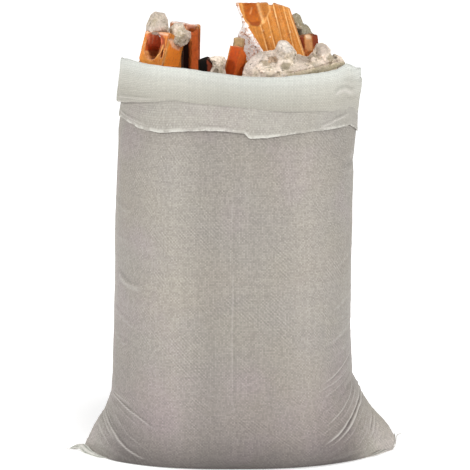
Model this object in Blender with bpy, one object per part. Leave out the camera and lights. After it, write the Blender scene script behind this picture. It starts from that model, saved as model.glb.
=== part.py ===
"""Rubble sack: a woven sack with a rolled cuff, filled to the brim with broken bricks and mortar.

Metres, +Z up. The sack stands on its sewn bottom, the origin is on the floor under its middle,
and the front of the sack looks along -Y.
"""
import math

import bmesh
import bpy
import numpy as np
from mathutils import Matrix, Vector, noise

# Driving dimensions

WALL = 0.003               # the cloth as one simple wall
BASE_THICKNESS = 0.004     # wall under the load, with the seam's thread in it
CUFF_PROUD = 0.006         # how far the rolled cuff stands out
CUFF_HEIGHT = 0.060        # from the cuff's lower fold to the rim
CUFF_FOLD = 0.004          # height in which the cuff swells out at its fold
CUFF_TAPER = 0.002         # the cuff is this much less proud at the rim
GAP = 0.0003               # between pieces that touch
LUMP_GAP = 0.0004          # the same where a surface is bumpy
AROUND = 48                # points around the sack

# Outline of the sack seen from the front: height, left edge, right edge
FRONT_OUTLINE = [
    (0.000, -0.258, 0.254),
    (0.010, -0.246, 0.256),
    (0.022, -0.235, 0.256),
    (0.038, -0.221, 0.246),
    (0.062, -0.206, 0.222),
    (0.088, -0.195, 0.203),
    (0.115, -0.193, 0.188),
    (0.200, -0.190, 0.183),
    (0.315, -0.187, 0.184),
    (0.400, -0.185, 0.185),
    (0.505, -0.180, 0.189),
    (0.545, -0.177, 0.192),
    (0.625, -0.175, 0.194),
]
# The same for the load inside, which doesn't reach into the two ears
LOAD_OUTLINE = [
    (0.000, -0.166, 0.162),
    (0.022, -0.178, 0.174),
    (0.062, -0.184, 0.179),
    (0.115, -0.191, 0.184),
    (0.200, -0.190, 0.183),
]
# Outline seen from the side: height, half the depth
SIDE_OUTLINE = [
    (0.000, 0.139),
    (0.010, 0.147),
    (0.025, 0.155),
    (0.050, 0.160),
    (0.100, 0.163),
    (0.200, 0.163),
    (0.315, 0.160),
    (0.400, 0.158),
    (0.505, 0.155),
    (0.625, 0.153),
]
# Height of the rim around the mouth: angle from +X towards the back, height
RIM_LINE = [
    (0, 0.6033),
    (15, 0.5985),
    (30, 0.596),
    (60, 0.590),
    (90, 0.588),
    (120, 0.588),
    (140, 0.592),
    (155, 0.600),
    (170, 0.612),
    (180, 0.6195),
    (200, 0.6225),
    (230, 0.6205),
    (250, 0.617),
    (260, 0.6125),
    (270, 0.608),
    (290, 0.6065),
    (312, 0.609),
    (321, 0.612),
    (330, 0.6175),
    (337, 0.611),
    (346, 0.6065),
    (360, 0.6033),
]
# Heights of the points around the sack, outside and inside
BODY_LOW = [0.0, 0.010]
BODY_SHARED = [0.022, 0.038, 0.062, 0.088, 0.115, 0.160, 0.230, 0.315, 0.400, 0.440, 0.480, 0.515]
LOAD_HIGH = [0.545]

ROUNDNESS = 2.2            # of the sack's plan: 2 is an ellipse, more is squarer
LOW_ROUNDNESS = 1.9        # of the load's plan at the bottom
PINCH_POWER = 2.5          # of the pointed plan at the bottom, from ear to ear
PINCH_TOP = 0.125          # where the pointed plan has turned round
EAR_HALF = 0.0035          # half the thickness of an ear at its end
MOUTH_PINCH = 0.4          # how far the mouth is drawn out into its two creased corners
MOUTH_PINCH_FROM = 0.43    # the height where that begins
MOUTH_PINCH_FULL = 0.62    # and where it is complete
SEAM_BEND = 0.035          # how far the seam's ends lie in front of its middle
SEAM_REACH = 0.260         # from the middle to an ear's end

SEAM_STATIONS = 41         # points along the seam's groove
GROOVE_REACH = 0.290       # the groove runs out beyond both ears
THREAD_RADIUS = 0.0008
THREAD_STRAIGHT = 0.252    # the thread follows the seam as far as this
THREAD_EXIT_LEFT = 0.2595  # where it leaves the hem
THREAD_EXIT_RIGHT = 0.2575
THREAD_TAIL = 0.266        # where the loose ends of the thread stop, left and right
GROOVE_WIDTH = 0.0023
GROOVE_DEPTH = 0.0023
THREAD_HEIGHT = 0.00115    # of the thread's middle over the floor

LOAD_DROP = 0.026          # from the rim down to the load's edge
LOAD_TOP = 0.588           # the load's surface in the middle of the mouth
LOAD_RINGS = [0.78, 0.52, 0.26]
LOAD_LUMPS = 0.006         # how uneven that surface is

# How rough a lump is: share of its radius, for broad and for small bumps, and where a side is broken flat
LUMP_COARSE = 0.22
LUMP_FINE = 0.11
LUMP_FLAT = 0.80
BREAK_SIZE = 0.2           # of the block that is taken away beyond a break
CELL_OVERRUN = 0.01        # a cell's cutter is longer than the brick by this much
UP, LEFT, RIGHT, FRONT = (0, 0, 1), (-1, 0, 0), (1, 0, 0), (0, -1, 0)

# The ribbed brick, in its own frame: its grooves across, its open cells' size and places in plan,
# and the cell that is blocked lower down
RIB_GROOVES = [-0.0075, 0.0045, 0.0165, 0.0285]
RIBBED_CELL = (0.029, 0.016)
RIBBED_CELL_PLACES = [(-0.0205, 0.0120), (0.0205, -0.0120), (0.0205, 0.0120)]
BLOCKED_CELL_DEPTH = 0.065
BLOCKED_CELL_PLACE = (-0.0205, -0.0120, 0.0475)
# The dark chip's outline, seen from the front
WEDGE_CORNERS = [(-0.0125, -0.032), (0.0210, -0.032), (0.0145, 0.0129), (0.0038, 0.0326), (-0.0115, 0.0280)]
WEDGE_DEPTH = 0.024
# The slab of mortar: its plan, its heights, and the lumps on it as radii, place and seed
SLAB_OUTLINE = [
    (0.010, -0.138),
    (0.045, -0.140),
    (0.080, -0.137),
    (0.128, -0.106),
    (0.166, -0.066),
    (0.154, -0.042),
    (0.112, -0.060),
    (0.064, -0.082),
    (0.026, -0.102),
    (0.014, -0.116),
]
SLAB_BOTTOM = 0.588
SLAB_TOPS = [0.614, 0.616, 0.612, 0.616, 0.618, 0.624, 0.632, 0.640, 0.6345, 0.624]
SLAB_ENVELOPE_TOP = 0.644
SLAB_BUMPS = [
    ("slab_bump_left", (0.0195, 0.015, 0.029), (0.0755, -0.096, 0.629), 12),
    ("slab_bump_right", (0.0175, 0.016, 0.0235), (0.1335, -0.071, 0.6265), 13),
    ("slab_bump_shoulder", (0.0115, 0.013, 0.0110), (0.1585, -0.058, 0.6185), 15),
    ("slab_bump_low", (0.024, 0.016, 0.012), (0.036, -0.116, 0.624), 14),
]


# Scene and materials

def clear_scene():
    for item in list(bpy.data.objects):
        bpy.data.objects.remove(item, do_unlink=True)


def finish(name, colour, roughness):
    material = bpy.data.materials.new(name + "_finish")
    material.use_nodes = True
    shader = material.node_tree.nodes["Principled BSDF"]
    shader.inputs["Base Color"].default_value = (*colour, 1.0)
    shader.inputs["Roughness"].default_value = roughness
    shader.inputs["Metallic"].default_value = 0.0
    return material


def add_object(name, shape, colour=(0.5, 0.5, 0.5), roughness=0.9):
    """Turn a bmesh into an object with a material of its own."""
    bmesh.ops.recalc_face_normals(shape, faces=shape.faces)
    mesh = bpy.data.meshes.new(name)
    shape.to_mesh(mesh)
    shape.free()
    item = bpy.data.objects.new(name, mesh)
    bpy.context.scene.collection.objects.link(item)
    mesh.materials.append(finish(name, colour, roughness))
    return item


def make_cutter(item):
    item.hide_render = True
    item.display_type = "WIRE"
    return item


def subtract(item, cutter):
    modifier = item.modifiers.new("cut_" + cutter.name, "BOOLEAN")
    modifier.operation = "DIFFERENCE"
    modifier.object = cutter
    modifier.solver = "EXACT"


def drop_slivers(item):
    """Apply the cuts, and remove the pairs of faces without volume that they leave behind."""
    depsgraph = bpy.context.evaluated_depsgraph_get()
    mesh = bpy.data.meshes.new_from_object(item.evaluated_get(depsgraph))
    shape = bmesh.new()
    shape.from_mesh(mesh)
    bmesh.ops.triangulate(shape, faces=shape.faces)
    by_corners = {}
    for face in shape.faces:
        by_corners.setdefault(frozenset(vert.index for vert in face.verts), []).append(face)
    doubled = [face for faces in by_corners.values() if len(faces) > 1 for face in faces]
    bmesh.ops.delete(shape, geom=doubled, context="FACES_ONLY")
    loose = [edge for edge in shape.edges if not edge.link_faces]
    bmesh.ops.delete(shape, geom=loose, context="EDGES")
    shape.to_mesh(mesh)
    shape.free()
    item.modifiers.clear()
    item.data = mesh


CLOTH = (0.45, 0.41, 0.37)
THREAD = (0.70, 0.68, 0.62)
BRICK = (0.56, 0.22, 0.07)
BRICK_DARK = (0.16, 0.05, 0.04)
MORTAR = (0.56, 0.48, 0.40)
MORTAR_DARK = (0.40, 0.36, 0.26)
LOAD = (0.30, 0.20, 0.14)


# The sack's surface

def outline_at(outline, height, column):
    rows = np.array(outline)
    return float(np.interp(height, rows[:, 0], rows[:, column]))


def rim_height(angle):
    rows = np.array(RIM_LINE)
    return float(np.interp(math.degrees(angle) % 360.0, rows[:, 0], rows[:, 1]))


def seam_line(x):
    """Where the bottom seam lies on the floor, front to back."""
    return -SEAM_BEND * (x / SEAM_REACH) ** 2


def smooth_step(value):
    value = min(max(value, 0.0), 1.0)
    return value * value * (3.0 - 2.0 * value)


def signed_power(value, power):
    return math.copysign(abs(value) ** power, value)


def plan_point(angle, half, depth, roundness, pinch, tip):
    """A point of a plan between a rounded oval, at no pinch, and a lens with two corners."""
    across, along = math.cos(angle), math.sin(angle)
    round_x = signed_power(across, 2.0 / roundness) * half
    round_y = signed_power(along, 2.0 / roundness) * depth
    lens_x = across * half
    lens_y = math.copysign(depth * (1.0 - abs(across) ** PINCH_POWER) + tip, along)
    return round_x + (lens_x - round_x) * pinch, round_y + (lens_y - round_y) * pinch


def mouth_pinch(height):
    reach = (height - MOUTH_PINCH_FROM) / (MOUTH_PINCH_FULL - MOUTH_PINCH_FROM)
    return MOUTH_PINCH * smooth_step(reach)


def sack_point(angle, height, proud=0.0):
    """A point of the sack's outside, with its two pointed ears at the bottom."""
    left = outline_at(FRONT_OUTLINE, height, 1) - proud
    right = outline_at(FRONT_OUTLINE, height, 2) + proud
    depth = outline_at(SIDE_OUTLINE, height, 1) + proud
    middle = 0.5 * (outline_at(LOAD_OUTLINE, height, 1) + outline_at(LOAD_OUTLINE, height, 2))
    if height > LOAD_OUTLINE[-1][0]:
        middle = 0.5 * (left + right)
    half = right - middle if math.cos(angle) > 0 else middle - left
    ear_pinch = smooth_step(1.0 - height / PINCH_TOP)
    pinch = ear_pinch + mouth_pinch(height)
    x, y = plan_point(angle, half, depth, ROUNDNESS, pinch, EAR_HALF)
    return Vector((middle + x, y + seam_line(middle + x) * ear_pinch, height))


def load_point(angle, height, inset):
    """A point of the sack's inside, or of the load when the inset is larger."""
    if height > LOAD_OUTLINE[-1][0]:
        outline = FRONT_OUTLINE
    else:
        outline = LOAD_OUTLINE
    left = outline_at(outline, height, 1) + inset
    right = outline_at(outline, height, 2) - inset
    depth = outline_at(SIDE_OUTLINE, height, 1) - inset
    middle = 0.5 * (left + right)
    ear_pinch = smooth_step(1.0 - height / PINCH_TOP)
    roundness = ROUNDNESS + (LOW_ROUNDNESS - ROUNDNESS) * math.sqrt(ear_pinch)
    x, y = plan_point(angle, right - middle, depth, roundness, mouth_pinch(height), 0.0)
    return Vector((middle + x, y + seam_line(middle + x) * ear_pinch, height))


def angles_around():
    """No point lies on the seam itself, so each ear ends in a narrow blunt face."""
    return [(index + 0.5) * 2.0 * math.pi / AROUND for index in range(AROUND)]


def add_ring(shape, points):
    return [shape.verts.new(point) for point in points]


def join_rings(shape, lower, upper):
    for index in range(AROUND):
        after = (index + 1) % AROUND
        shape.faces.new((lower[index], lower[after], upper[after], upper[index]))


def close_ring(shape, ring):
    """Fill a ring with strips that run from its front half to its back half."""
    for index in range(AROUND // 2 - 1):
        mirrored = AROUND - 1 - index
        shape.faces.new((ring[index], ring[index + 1], ring[mirrored - 1], ring[mirrored]))


def build_sack():
    shape = bmesh.new()
    angles = angles_around()
    outside = []
    for height in BODY_LOW + BODY_SHARED:
        outside.append(add_ring(shape, [sack_point(angle, height) for angle in angles]))
    cuff = ((CUFF_HEIGHT, 0.0), (CUFF_HEIGHT - CUFF_FOLD, CUFF_PROUD), (0.0, CUFF_PROUD - CUFF_TAPER))
    for below_rim, proud in cuff:
        points = [sack_point(angle, rim_height(angle) - below_rim, proud) for angle in angles]
        outside.append(add_ring(shape, points))
    inside = [add_ring(shape, [load_point(angle, rim_height(angle), WALL) for angle in angles])]
    inside_heights = [BASE_THICKNESS] + BODY_SHARED + LOAD_HIGH
    for height in reversed(inside_heights):
        inside.append(add_ring(shape, [load_point(angle, height, WALL) for angle in angles]))
    rings = outside + inside
    for lower, upper in zip(rings, rings[1:]):
        join_rings(shape, lower, upper)
    close_ring(shape, rings[0])
    close_ring(shape, rings[-1])
    sack = add_object("sack_cloth", shape, CLOTH, 0.75)
    subtract(sack, build_groove_cutter())
    return sack


def seam_stations():
    """Places along the bottom seam, left to right."""
    step = 2.0 * GROOVE_REACH / (SEAM_STATIONS - 1)
    return [-GROOVE_REACH + step * index for index in range(SEAM_STATIONS)]


def build_groove_cutter():
    shape = bmesh.new()
    low, high = -GROOVE_DEPTH, GROOVE_DEPTH
    half = GROOVE_WIDTH / 2
    rows = []
    for x in seam_stations():
        y = seam_line(x)
        corners = ((y - half, low), (y + half, low), (y + half, high), (y - half, high))
        rows.append([shape.verts.new((x, side, z)) for side, z in corners])
    for row, following in zip(rows, rows[1:]):
        for index in range(4):
            after = (index + 1) % 4
            shape.faces.new((row[index], row[after], following[after], following[index]))
    shape.faces.new(rows[0])
    shape.faces.new(rows[-1])
    return make_cutter(add_object("thread_groove", shape))


def build_thread():
    """The seam's sewing thread, which runs under the sack and hangs out at both ears."""
    inner = [x for x in seam_stations() if abs(x) < THREAD_STRAIGHT]
    points = [(x, seam_line(x), THREAD_HEIGHT) for x in inner]
    left_end = (-THREAD_TAIL, seam_line(THREAD_TAIL) - 0.002, THREAD_HEIGHT + 0.002)
    left_exit = (-THREAD_EXIT_LEFT, seam_line(THREAD_EXIT_LEFT), THREAD_HEIGHT)
    right_exit = (THREAD_EXIT_RIGHT, seam_line(THREAD_EXIT_RIGHT), THREAD_HEIGHT)
    right_end = (THREAD_TAIL, seam_line(THREAD_TAIL) + 0.001, THREAD_HEIGHT + 0.006)
    points = [left_end, left_exit] + points + [right_exit, right_end]
    curve = bpy.data.curves.new("seam_thread", "CURVE")
    curve.dimensions = "3D"
    curve.bevel_depth = THREAD_RADIUS
    curve.bevel_resolution = 2
    curve.use_fill_caps = True
    spline = curve.splines.new("POLY")
    spline.points.add(len(points) - 1)
    for point, place in zip(spline.points, points):
        point.co = (*place, 1.0)
    thread = bpy.data.objects.new("seam_thread", curve)
    bpy.context.scene.collection.objects.link(thread)
    curve.materials.append(finish("seam_thread", THREAD, 0.8))
    return thread


def build_load():
    """The plain block that stands for the load hidden inside the sack."""
    shape = bmesh.new()
    angles = angles_around()
    inset = WALL + GAP
    heights = [BASE_THICKNESS + GAP] + BODY_SHARED + LOAD_HIGH
    rings = [add_ring(shape, [load_point(angle, height, inset) for angle in angles]) for height in heights]
    edge = [load_point(angle, rim_height(angle) - LOAD_DROP, inset) for angle in angles]
    rings.append(add_ring(shape, edge))
    for ratio in LOAD_RINGS:
        points = []
        for place in edge:
            flat = Vector((place.x * ratio, place.y * ratio, 0.0))
            lump = LOAD_LUMPS * noise.noise(flat * 24.0)
            height = place.z + (LOAD_TOP - place.z) * (1.0 - ratio) + lump
            points.append((flat.x, flat.y, height))
        rings.append(add_ring(shape, points))
    for lower, upper in zip(rings, rings[1:]):
        join_rings(shape, lower, upper)
    close_ring(shape, rings[0])
    top = shape.verts.new((0.0, 0.0, LOAD_TOP))
    for index in range(AROUND):
        shape.faces.new((rings[-1][index], rings[-1][(index + 1) % AROUND], top))
    return add_object("load_core", shape, LOAD, 0.95)


# Shapes of rubble

def turned(yaw=0.0, lean=0.0, pitch=0.0):
    """Yaw about the piece's own height first, then pitch, then lean to the right."""
    lean_turn = Matrix.Rotation(math.radians(lean), 3, "Y")
    pitch_turn = Matrix.Rotation(math.radians(pitch), 3, "X")
    yaw_turn = Matrix.Rotation(math.radians(yaw), 3, "Z")
    return (lean_turn @ pitch_turn @ yaw_turn).to_euler()


def box_shape(size, centre=(0.0, 0.0, 0.0), grow=0.0):
    shape = bmesh.new()
    bmesh.ops.create_cube(shape, size=1.0)
    bmesh.ops.scale(shape, vec=[side + 2.0 * grow for side in size], verts=shape.verts)
    bmesh.ops.translate(shape, vec=centre, verts=shape.verts)
    return shape


def flat_sides(seed):
    """Three directions in which a lump has been broken flat."""
    sides = []
    for number in range(3):
        turn = seed + 2.1 * number
        side = Vector((math.cos(turn), math.sin(turn + 0.7 * seed), 0.6 * math.cos(turn + 1.3 * seed)))
        sides.append(side.normalized())
    return sides


def lump_shape(radii, seed, grow=0.0):
    """A rough lump: a ball pushed in and out, with some flattened sides."""
    shape = bmesh.new()
    bmesh.ops.create_icosphere(shape, subdivisions=2, radius=1.0)
    offset = Vector((seed * 3.17, seed * 1.31, seed * 2.23))
    for vert in shape.verts:
        direction = vert.co.normalized()
        reach = 1.0 + LUMP_COARSE * noise.noise(direction * 1.4 + offset)
        reach += LUMP_FINE * noise.noise(direction * 3.1 - offset)
        for side in flat_sides(seed):
            facing = direction.dot(side)
            if facing * reach > LUMP_FLAT:
                reach = LUMP_FLAT / facing
        vert.co = direction * reach
    for vert in shape.verts:
        vert.co = Vector([(radius + grow) * part for radius, part in zip(radii, vert.co)])
    return shape


def rod_shape(radii, length, centre, sides):
    """An oval rod along the piece's own Y, for a hole that runs front to back."""
    shape = bmesh.new()
    rows = []
    for y in (centre[1] - length / 2, centre[1] + length / 2):
        row = []
        for index in range(sides):
            angle = 2.0 * math.pi * index / sides
            x = centre[0] + radii[0] * math.cos(angle)
            z = centre[2] + radii[1] * math.sin(angle)
            row.append(shape.verts.new((x, y, z)))
        rows.append(row)
    for index in range(sides):
        after = (index + 1) % sides
        shape.faces.new((rows[0][index], rows[0][after], rows[1][after], rows[1][index]))
    shape.faces.new(rows[0])
    shape.faces.new(rows[1])
    return shape


def grown_outline(outline, grow):
    """A flat outline, counterclockwise, grown outwards."""
    grown = []
    for index, corner in enumerate(outline):
        before = Vector(outline[index - 1])
        after = Vector(outline[(index + 1) % len(outline)])
        along = (after - before).normalized()
        grown.append(Vector(corner) + Vector((along.y, -along.x)) * grow)
    return grown


def wedge_shape(grow=0.0):
    """A flat pointed chip, standing on edge."""
    shape = bmesh.new()
    half = WEDGE_DEPTH / 2 + grow
    rows = []
    for y in (-half, half):
        rows.append([shape.verts.new((spot.x, y, spot.y)) for spot in grown_outline(WEDGE_CORNERS, grow)])
    for index in range(len(WEDGE_CORNERS)):
        after = (index + 1) % len(WEDGE_CORNERS)
        shape.faces.new((rows[0][index], rows[0][after], rows[1][after], rows[1][index]))
    shape.faces.new(rows[0])
    shape.faces.new(rows[1])
    return shape


def slab_shape(grow, bottom, tops):
    """An upright prism on the slab's plan, with a height for each top corner."""
    shape = bmesh.new()
    outline = grown_outline(SLAB_OUTLINE, grow)
    low = [shape.verts.new((spot.x, spot.y, bottom)) for spot in outline]
    high = [shape.verts.new((spot.x, spot.y, top)) for spot, top in zip(outline, tops)]
    for index in range(len(outline)):
        after = (index + 1) % len(outline)
        shape.faces.new((low[index], low[after], high[after], high[index]))
    bmesh.ops.triangulate(shape, faces=[shape.faces.new(low), shape.faces.new(high)])
    return shape


# Placing the rubble

class Rubble:
    """The pieces that show above the rim, each cut to lie against the ones placed before it."""

    def __init__(self):
        self.placed = []

    def settle(self, piece, envelope, place, turn, against=()):
        """Put a piece and its slightly larger envelope in place, and cut it where it would overlap."""
        for item in (piece, envelope):
            item.location = place
            item.rotation_euler = turn
        make_cutter(envelope)
        for name, other in self.placed:
            if name in against:
                subtract(piece, other)
        self.placed.append((piece.name, envelope))
        return piece

    def cut_local(self, piece, name, shape):
        """Cut a hole, given in the piece's own frame."""
        cutter = make_cutter(add_object(name, shape))
        cutter.location = piece.location
        cutter.rotation_euler = piece.rotation_euler
        subtract(piece, cutter)

    def cut_lump(self, piece, name, radii, place, seed):
        """Break a hollow out of a piece, at a place in the scene."""
        cutter = make_cutter(add_object(name, lump_shape(radii, seed)))
        cutter.location = place
        subtract(piece, cutter)

    def break_off(self, piece, name, corners, side):
        """Break off all that lies beyond the plane through three corners, on the given side."""
        first, second, third = (Vector(corner) for corner in corners)
        outward = (second - first).cross(third - first).normalized()
        if outward.dot(Vector(side)) < 0.0:
            outward.negate()
        envelope = dict(self.placed)[piece.name]
        for item, away in ((piece, 0.0), (envelope, GAP)):
            cutter = make_cutter(add_object(f"{name}_{item.name}", box_shape([BREAK_SIZE] * 3)))
            cutter.location = (first + second + third) / 3 + outward * (BREAK_SIZE / 2 + away)
            cutter.rotation_euler = outward.to_track_quat("Z", "Y").to_euler()
            subtract(item, cutter)

    def brick(self, name, size, place, turn, cells=(), against=()):
        """A hollow brick's fragment; cells are its upright holes as centre and size in plan."""
        piece = add_object(name, box_shape(size), BRICK, 0.85)
        envelope = add_object(name + "_envelope", box_shape(size, grow=GAP))
        self.settle(piece, envelope, place, turn, against)
        for number, (cell_x, cell_y, width, depth) in enumerate(cells, 1):
            shape = box_shape((width, depth, size[2] + CELL_OVERRUN), (cell_x, cell_y, 0.0))
            self.cut_local(piece, f"{name}_cell_{number}", shape)
        return piece

    def lump(self, name, radii, place, seed, against=(), colour=MORTAR):
        piece = add_object(name, lump_shape(radii, seed), colour, 0.95)
        envelope = add_object(name + "_envelope", lump_shape(radii, seed, LUMP_GAP))
        return self.settle(piece, envelope, place, (0.0, 0.0, 0.0), against)


def build_oval_brick(rubble):
    """The leftmost fragment, with an oval hole in its face, and two lumps of mortar stuck to it."""
    brick = rubble.brick(
        "brick_with_oval_hole", (0.043, 0.050, 0.086), (-0.1125, -0.0605, 0.6268), turned(yaw=-30, lean=14))
    rubble.cut_local(brick, "oval_hole", rod_shape((0.0135, 0.0205), 0.06, (-0.003, 0.0, 0.014), 14))
    rubble.cut_local(brick, "side_slit", rod_shape((0.0018, 0.0075), 0.06, (0.0160, 0.0, 0.008), 8))
    rubble.break_off(brick, "oval_brick_top",
                     ((-0.1354, -0.074, 0.6661), (-0.0979, -0.096, 0.6648), (-0.080, -0.060, 0.652)), UP)
    rubble.break_off(brick, "oval_brick_low_corner",
                     ((-0.1440, -0.100, 0.6230), (-0.1440, 0.0, 0.6230), (-0.1230, -0.050, 0.5800)), LEFT)
    rubble.lump("mortar_on_left_brick", (0.0200, 0.019, 0.0180), (-0.1162, -0.062, 0.6768), 1,
                against=("brick_with_oval_hole",))


def build_standing_brick(rubble):
    """One upright cell of a brick, its top broken and its front wall split."""
    brick = rubble.brick(
        "brick_standing", (0.046, 0.046, 0.104), (-0.0760, -0.014, 0.625), turned(lean=1),
        cells=[(0.001, 0.001, 0.028, 0.030)], against=("brick_with_oval_hole", "mortar_on_left_brick"))
    rubble.break_off(brick, "standing_top",
                     ((-0.0996, -0.037, 0.6793), (-0.0554, -0.037, 0.6732), (-0.080, 0.009, 0.6720)), UP)
    rubble.cut_local(brick, "standing_lip", rod_shape((0.0085, 0.0130), 0.02, (0.0105, -0.0233, 0.0485), 10))
    rubble.cut_local(brick, "front_slot", box_shape((0.010, 0.030, 0.080), (0.003, -0.022, -0.018)))
    rubble.lump("mortar_between_bricks", (0.0180, 0.017, 0.0205), (-0.0822, -0.0640, 0.6605), 2,
                against=("brick_with_oval_hole", "brick_standing", "mortar_on_left_brick"))


def build_ribbed_brick(rubble):
    """The big ribbed fragment: its top broken in two slopes, its front left edge broken away."""
    brick = rubble.brick(
        "brick_ribbed", (0.086, 0.055, 0.155), (0.052, -0.027, 0.656), turned(yaw=3, lean=-19, pitch=-12),
        cells=[(x, y, *RIBBED_CELL) for x, y in RIBBED_CELL_PLACES])
    blocked_cell = box_shape((*RIBBED_CELL, BLOCKED_CELL_DEPTH), BLOCKED_CELL_PLACE)
    rubble.cut_local(brick, "ribbed_blocked_cell", blocked_cell)
    rubble.break_off(brick, "ribbed_top_left",
                     ((0.0011, -0.043, 0.7080), (0.0451, -0.043, 0.7080), (0.0011, 0.007, 0.6950)), UP)
    rubble.break_off(brick, "ribbed_top_right",
                     ((0.0603, -0.045, 0.7082), (0.0861, -0.047, 0.7000), (0.0603, 0.007, 0.6960)), UP)
    rubble.break_off(brick, "ribbed_left",
                     ((-0.0012, -0.045, 0.7082), (0.0064, -0.055, 0.6575), (0.0000, 0.005, 0.7082)), LEFT)
    rubble.break_off(brick, "ribbed_front_left",
                     ((0.0057, -0.048, 0.6842), (0.0375, -0.060, 0.6383), (0.0135, -0.041, 0.6330)), FRONT)
    rubble.cut_lump(brick, "ribbed_scoop", (0.0190, 0.013, 0.0200), (0.0245, -0.0535, 0.6930), 4)
    rubble.cut_lump(brick, "ribbed_notch", (0.0045, 0.060, 0.0070), (0.0545, -0.030, 0.7085), 6)
    for number, across in enumerate(RIB_GROOVES, 1):
        groove = box_shape((0.0030, 0.0036, 0.170), (across, -0.0275, 0.0))
        rubble.cut_local(brick, f"ribbed_groove_{number}", groove)


def build_middle_chips(rubble):
    """The small pieces between the two big groups."""
    wedge = add_object("brick_wedge", wedge_shape(), BRICK_DARK, 0.9)
    envelope = add_object("brick_wedge_envelope", wedge_shape(GAP))
    rubble.settle(wedge, envelope, (-0.041, -0.116, 0.600), turned(yaw=8))
    plate = rubble.brick(
        "brick_plate", (0.020, 0.022, 0.066), (0.0003, -0.108, 0.6145), turned(yaw=-38, lean=13))
    rubble.break_off(plate, "plate_corner",
                     ((0.0092, -0.118, 0.6484), (0.0214, -0.108, 0.6300), (0.0140, -0.090, 0.6420)), RIGHT)
    rubble.brick("brick_splinter", (0.015, 0.014, 0.078), (0.003, -0.080, 0.619), turned(yaw=-15, lean=7))
    chunk = rubble.lump("mortar_chunk_front", (0.0175, 0.015, 0.0210), (-0.0258, -0.1235, 0.6160), 7,
                        against=("brick_plate", "brick_wedge"))
    rubble.break_off(chunk, "chunk_top",
                     ((-0.0400, -0.132, 0.6320), (-0.0100, -0.132, 0.6326), (-0.0250, -0.110, 0.6340)), UP)


def build_right_rubble(rubble):
    """The pieces behind the ribbed brick, and the big slab of mortar in front of it."""
    rubble.brick(
        "brick_behind_ribs", (0.034, 0.030, 0.078), (0.1125, -0.014, 0.616), turned(yaw=12, lean=-6),
        cells=[(-0.0075, 0.0, 0.009, 0.018), (0.0075, 0.0, 0.009, 0.018)], against=("brick_ribbed",))
    rubble.lump("mortar_rear_lower", (0.021, 0.025, 0.043), (0.109, 0.026, 0.626), 9,
                against=("brick_ribbed", "brick_behind_ribs"), colour=MORTAR_DARK)
    rubble.lump("mortar_rear_upper", (0.016, 0.018, 0.020), (0.091, 0.019, 0.669), 10,
                against=("brick_ribbed", "mortar_rear_lower"), colour=MORTAR_DARK)
    piece = add_object("mortar_slab", slab_shape(0.0, SLAB_BOTTOM, SLAB_TOPS), MORTAR, 0.95)
    tops = [SLAB_ENVELOPE_TOP] * len(SLAB_OUTLINE)
    envelope = add_object("mortar_slab_envelope", slab_shape(LUMP_GAP, SLAB_BOTTOM - GAP, tops))
    for name, radii, place, seed in SLAB_BUMPS:
        bump = make_cutter(add_object(name, lump_shape(radii, seed)))
        bump.location = place
        modifier = piece.modifiers.new("join_" + name, "BOOLEAN")
        modifier.operation = "UNION"
        modifier.object = bump
        modifier.solver = "EXACT"
    rubble.settle(piece, envelope, (0.0, 0.0, 0.0), (0.0, 0.0, 0.0),
                  against=("brick_ribbed", "brick_plate", "brick_behind_ribs", "brick_splinter"))


def build_back_rubble(rubble):
    """The pieces that lie behind the ones in front, left to right."""
    two_cells = [(x, 0.0, 0.017, 0.030) for x in (-0.0125, 0.0125)]
    four_cells = [(x, y, 0.024, 0.016) for x in (-0.016, 0.016) for y in (-0.012, 0.012)]
    left = rubble.brick("brick_rear_left", (0.054, 0.046, 0.084), (-0.094, 0.056, 0.602), turned(35, -8, 10),
                        two_cells, against=("brick_standing",))
    rubble.break_off(left, "rear_left_top",
                     ((-0.065, 0.045, 0.640), (-0.108, 0.015, 0.636), (-0.092, 0.083, 0.620)), UP)
    rubble.lump("mortar_rear_left", (0.020, 0.024, 0.018), (-0.134, 0.018, 0.596), 21,
                against=("brick_rear_left",))
    rubble.brick("brick_half_rear_left", (0.044, 0.028, 0.036), (-0.094, 0.098, 0.570), turned(38, 8, -6),
                 against=("brick_rear_left",))
    rubble.lump("mortar_rear_middle", (0.038, 0.030, 0.018), (-0.014, 0.092, 0.578), 22,
                against=("brick_rear_left",))
    middle = rubble.brick(
        "brick_rear_middle", (0.066, 0.056, 0.088), (0.058, 0.072, 0.610), turned(-20, 12, -6),
        four_cells, against=("mortar_rear_middle", "brick_ribbed"))
    rubble.break_off(middle, "rear_middle_top",
                     ((0.028, 0.060, 0.664), (0.089, 0.037, 0.640), (0.045, 0.112, 0.632)), UP)
    rubble.lump("mortar_rear_right", (0.024, 0.022, 0.019), (0.120, 0.088, 0.580), 23,
                against=("brick_rear_middle", "mortar_rear_lower"))
    rubble.brick("brick_rear_right", (0.040, 0.034, 0.046), (0.146, 0.036, 0.581), turned(25, 6, -10),
                 against=("mortar_rear_lower", "mortar_rear_right"))
    rubble.lump("mortar_right_edge", (0.014, 0.020, 0.014), (0.164, -0.014, 0.594), 24,
                against=("mortar_slab", "brick_rear_right", "brick_behind_ribs"))
    rubble.lump("mortar_middle", (0.022, 0.022, 0.017), (-0.024, -0.040, 0.588), 25,
                against=("brick_standing", "brick_ribbed"))
    rubble.brick("brick_shard_rear", (0.044, 0.013, 0.044), (-0.050, 0.118, 0.570), turned(15, 20, -20),
                 against=("mortar_rear_middle", "brick_rear_left", "brick_half_rear_left"))
    rubble.brick("brick_shard_middle", (0.040, 0.014, 0.048), (-0.012, 0.020, 0.584), turned(-25, -16, 14),
                 against=("mortar_middle", "brick_ribbed", "brick_rear_left", "brick_rear_middle"))
    rubble.lump("mortar_left_edge", (0.013, 0.018, 0.014), (-0.150, -0.028, 0.597), 26,
                against=("brick_with_oval_hole", "mortar_rear_left"))


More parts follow.
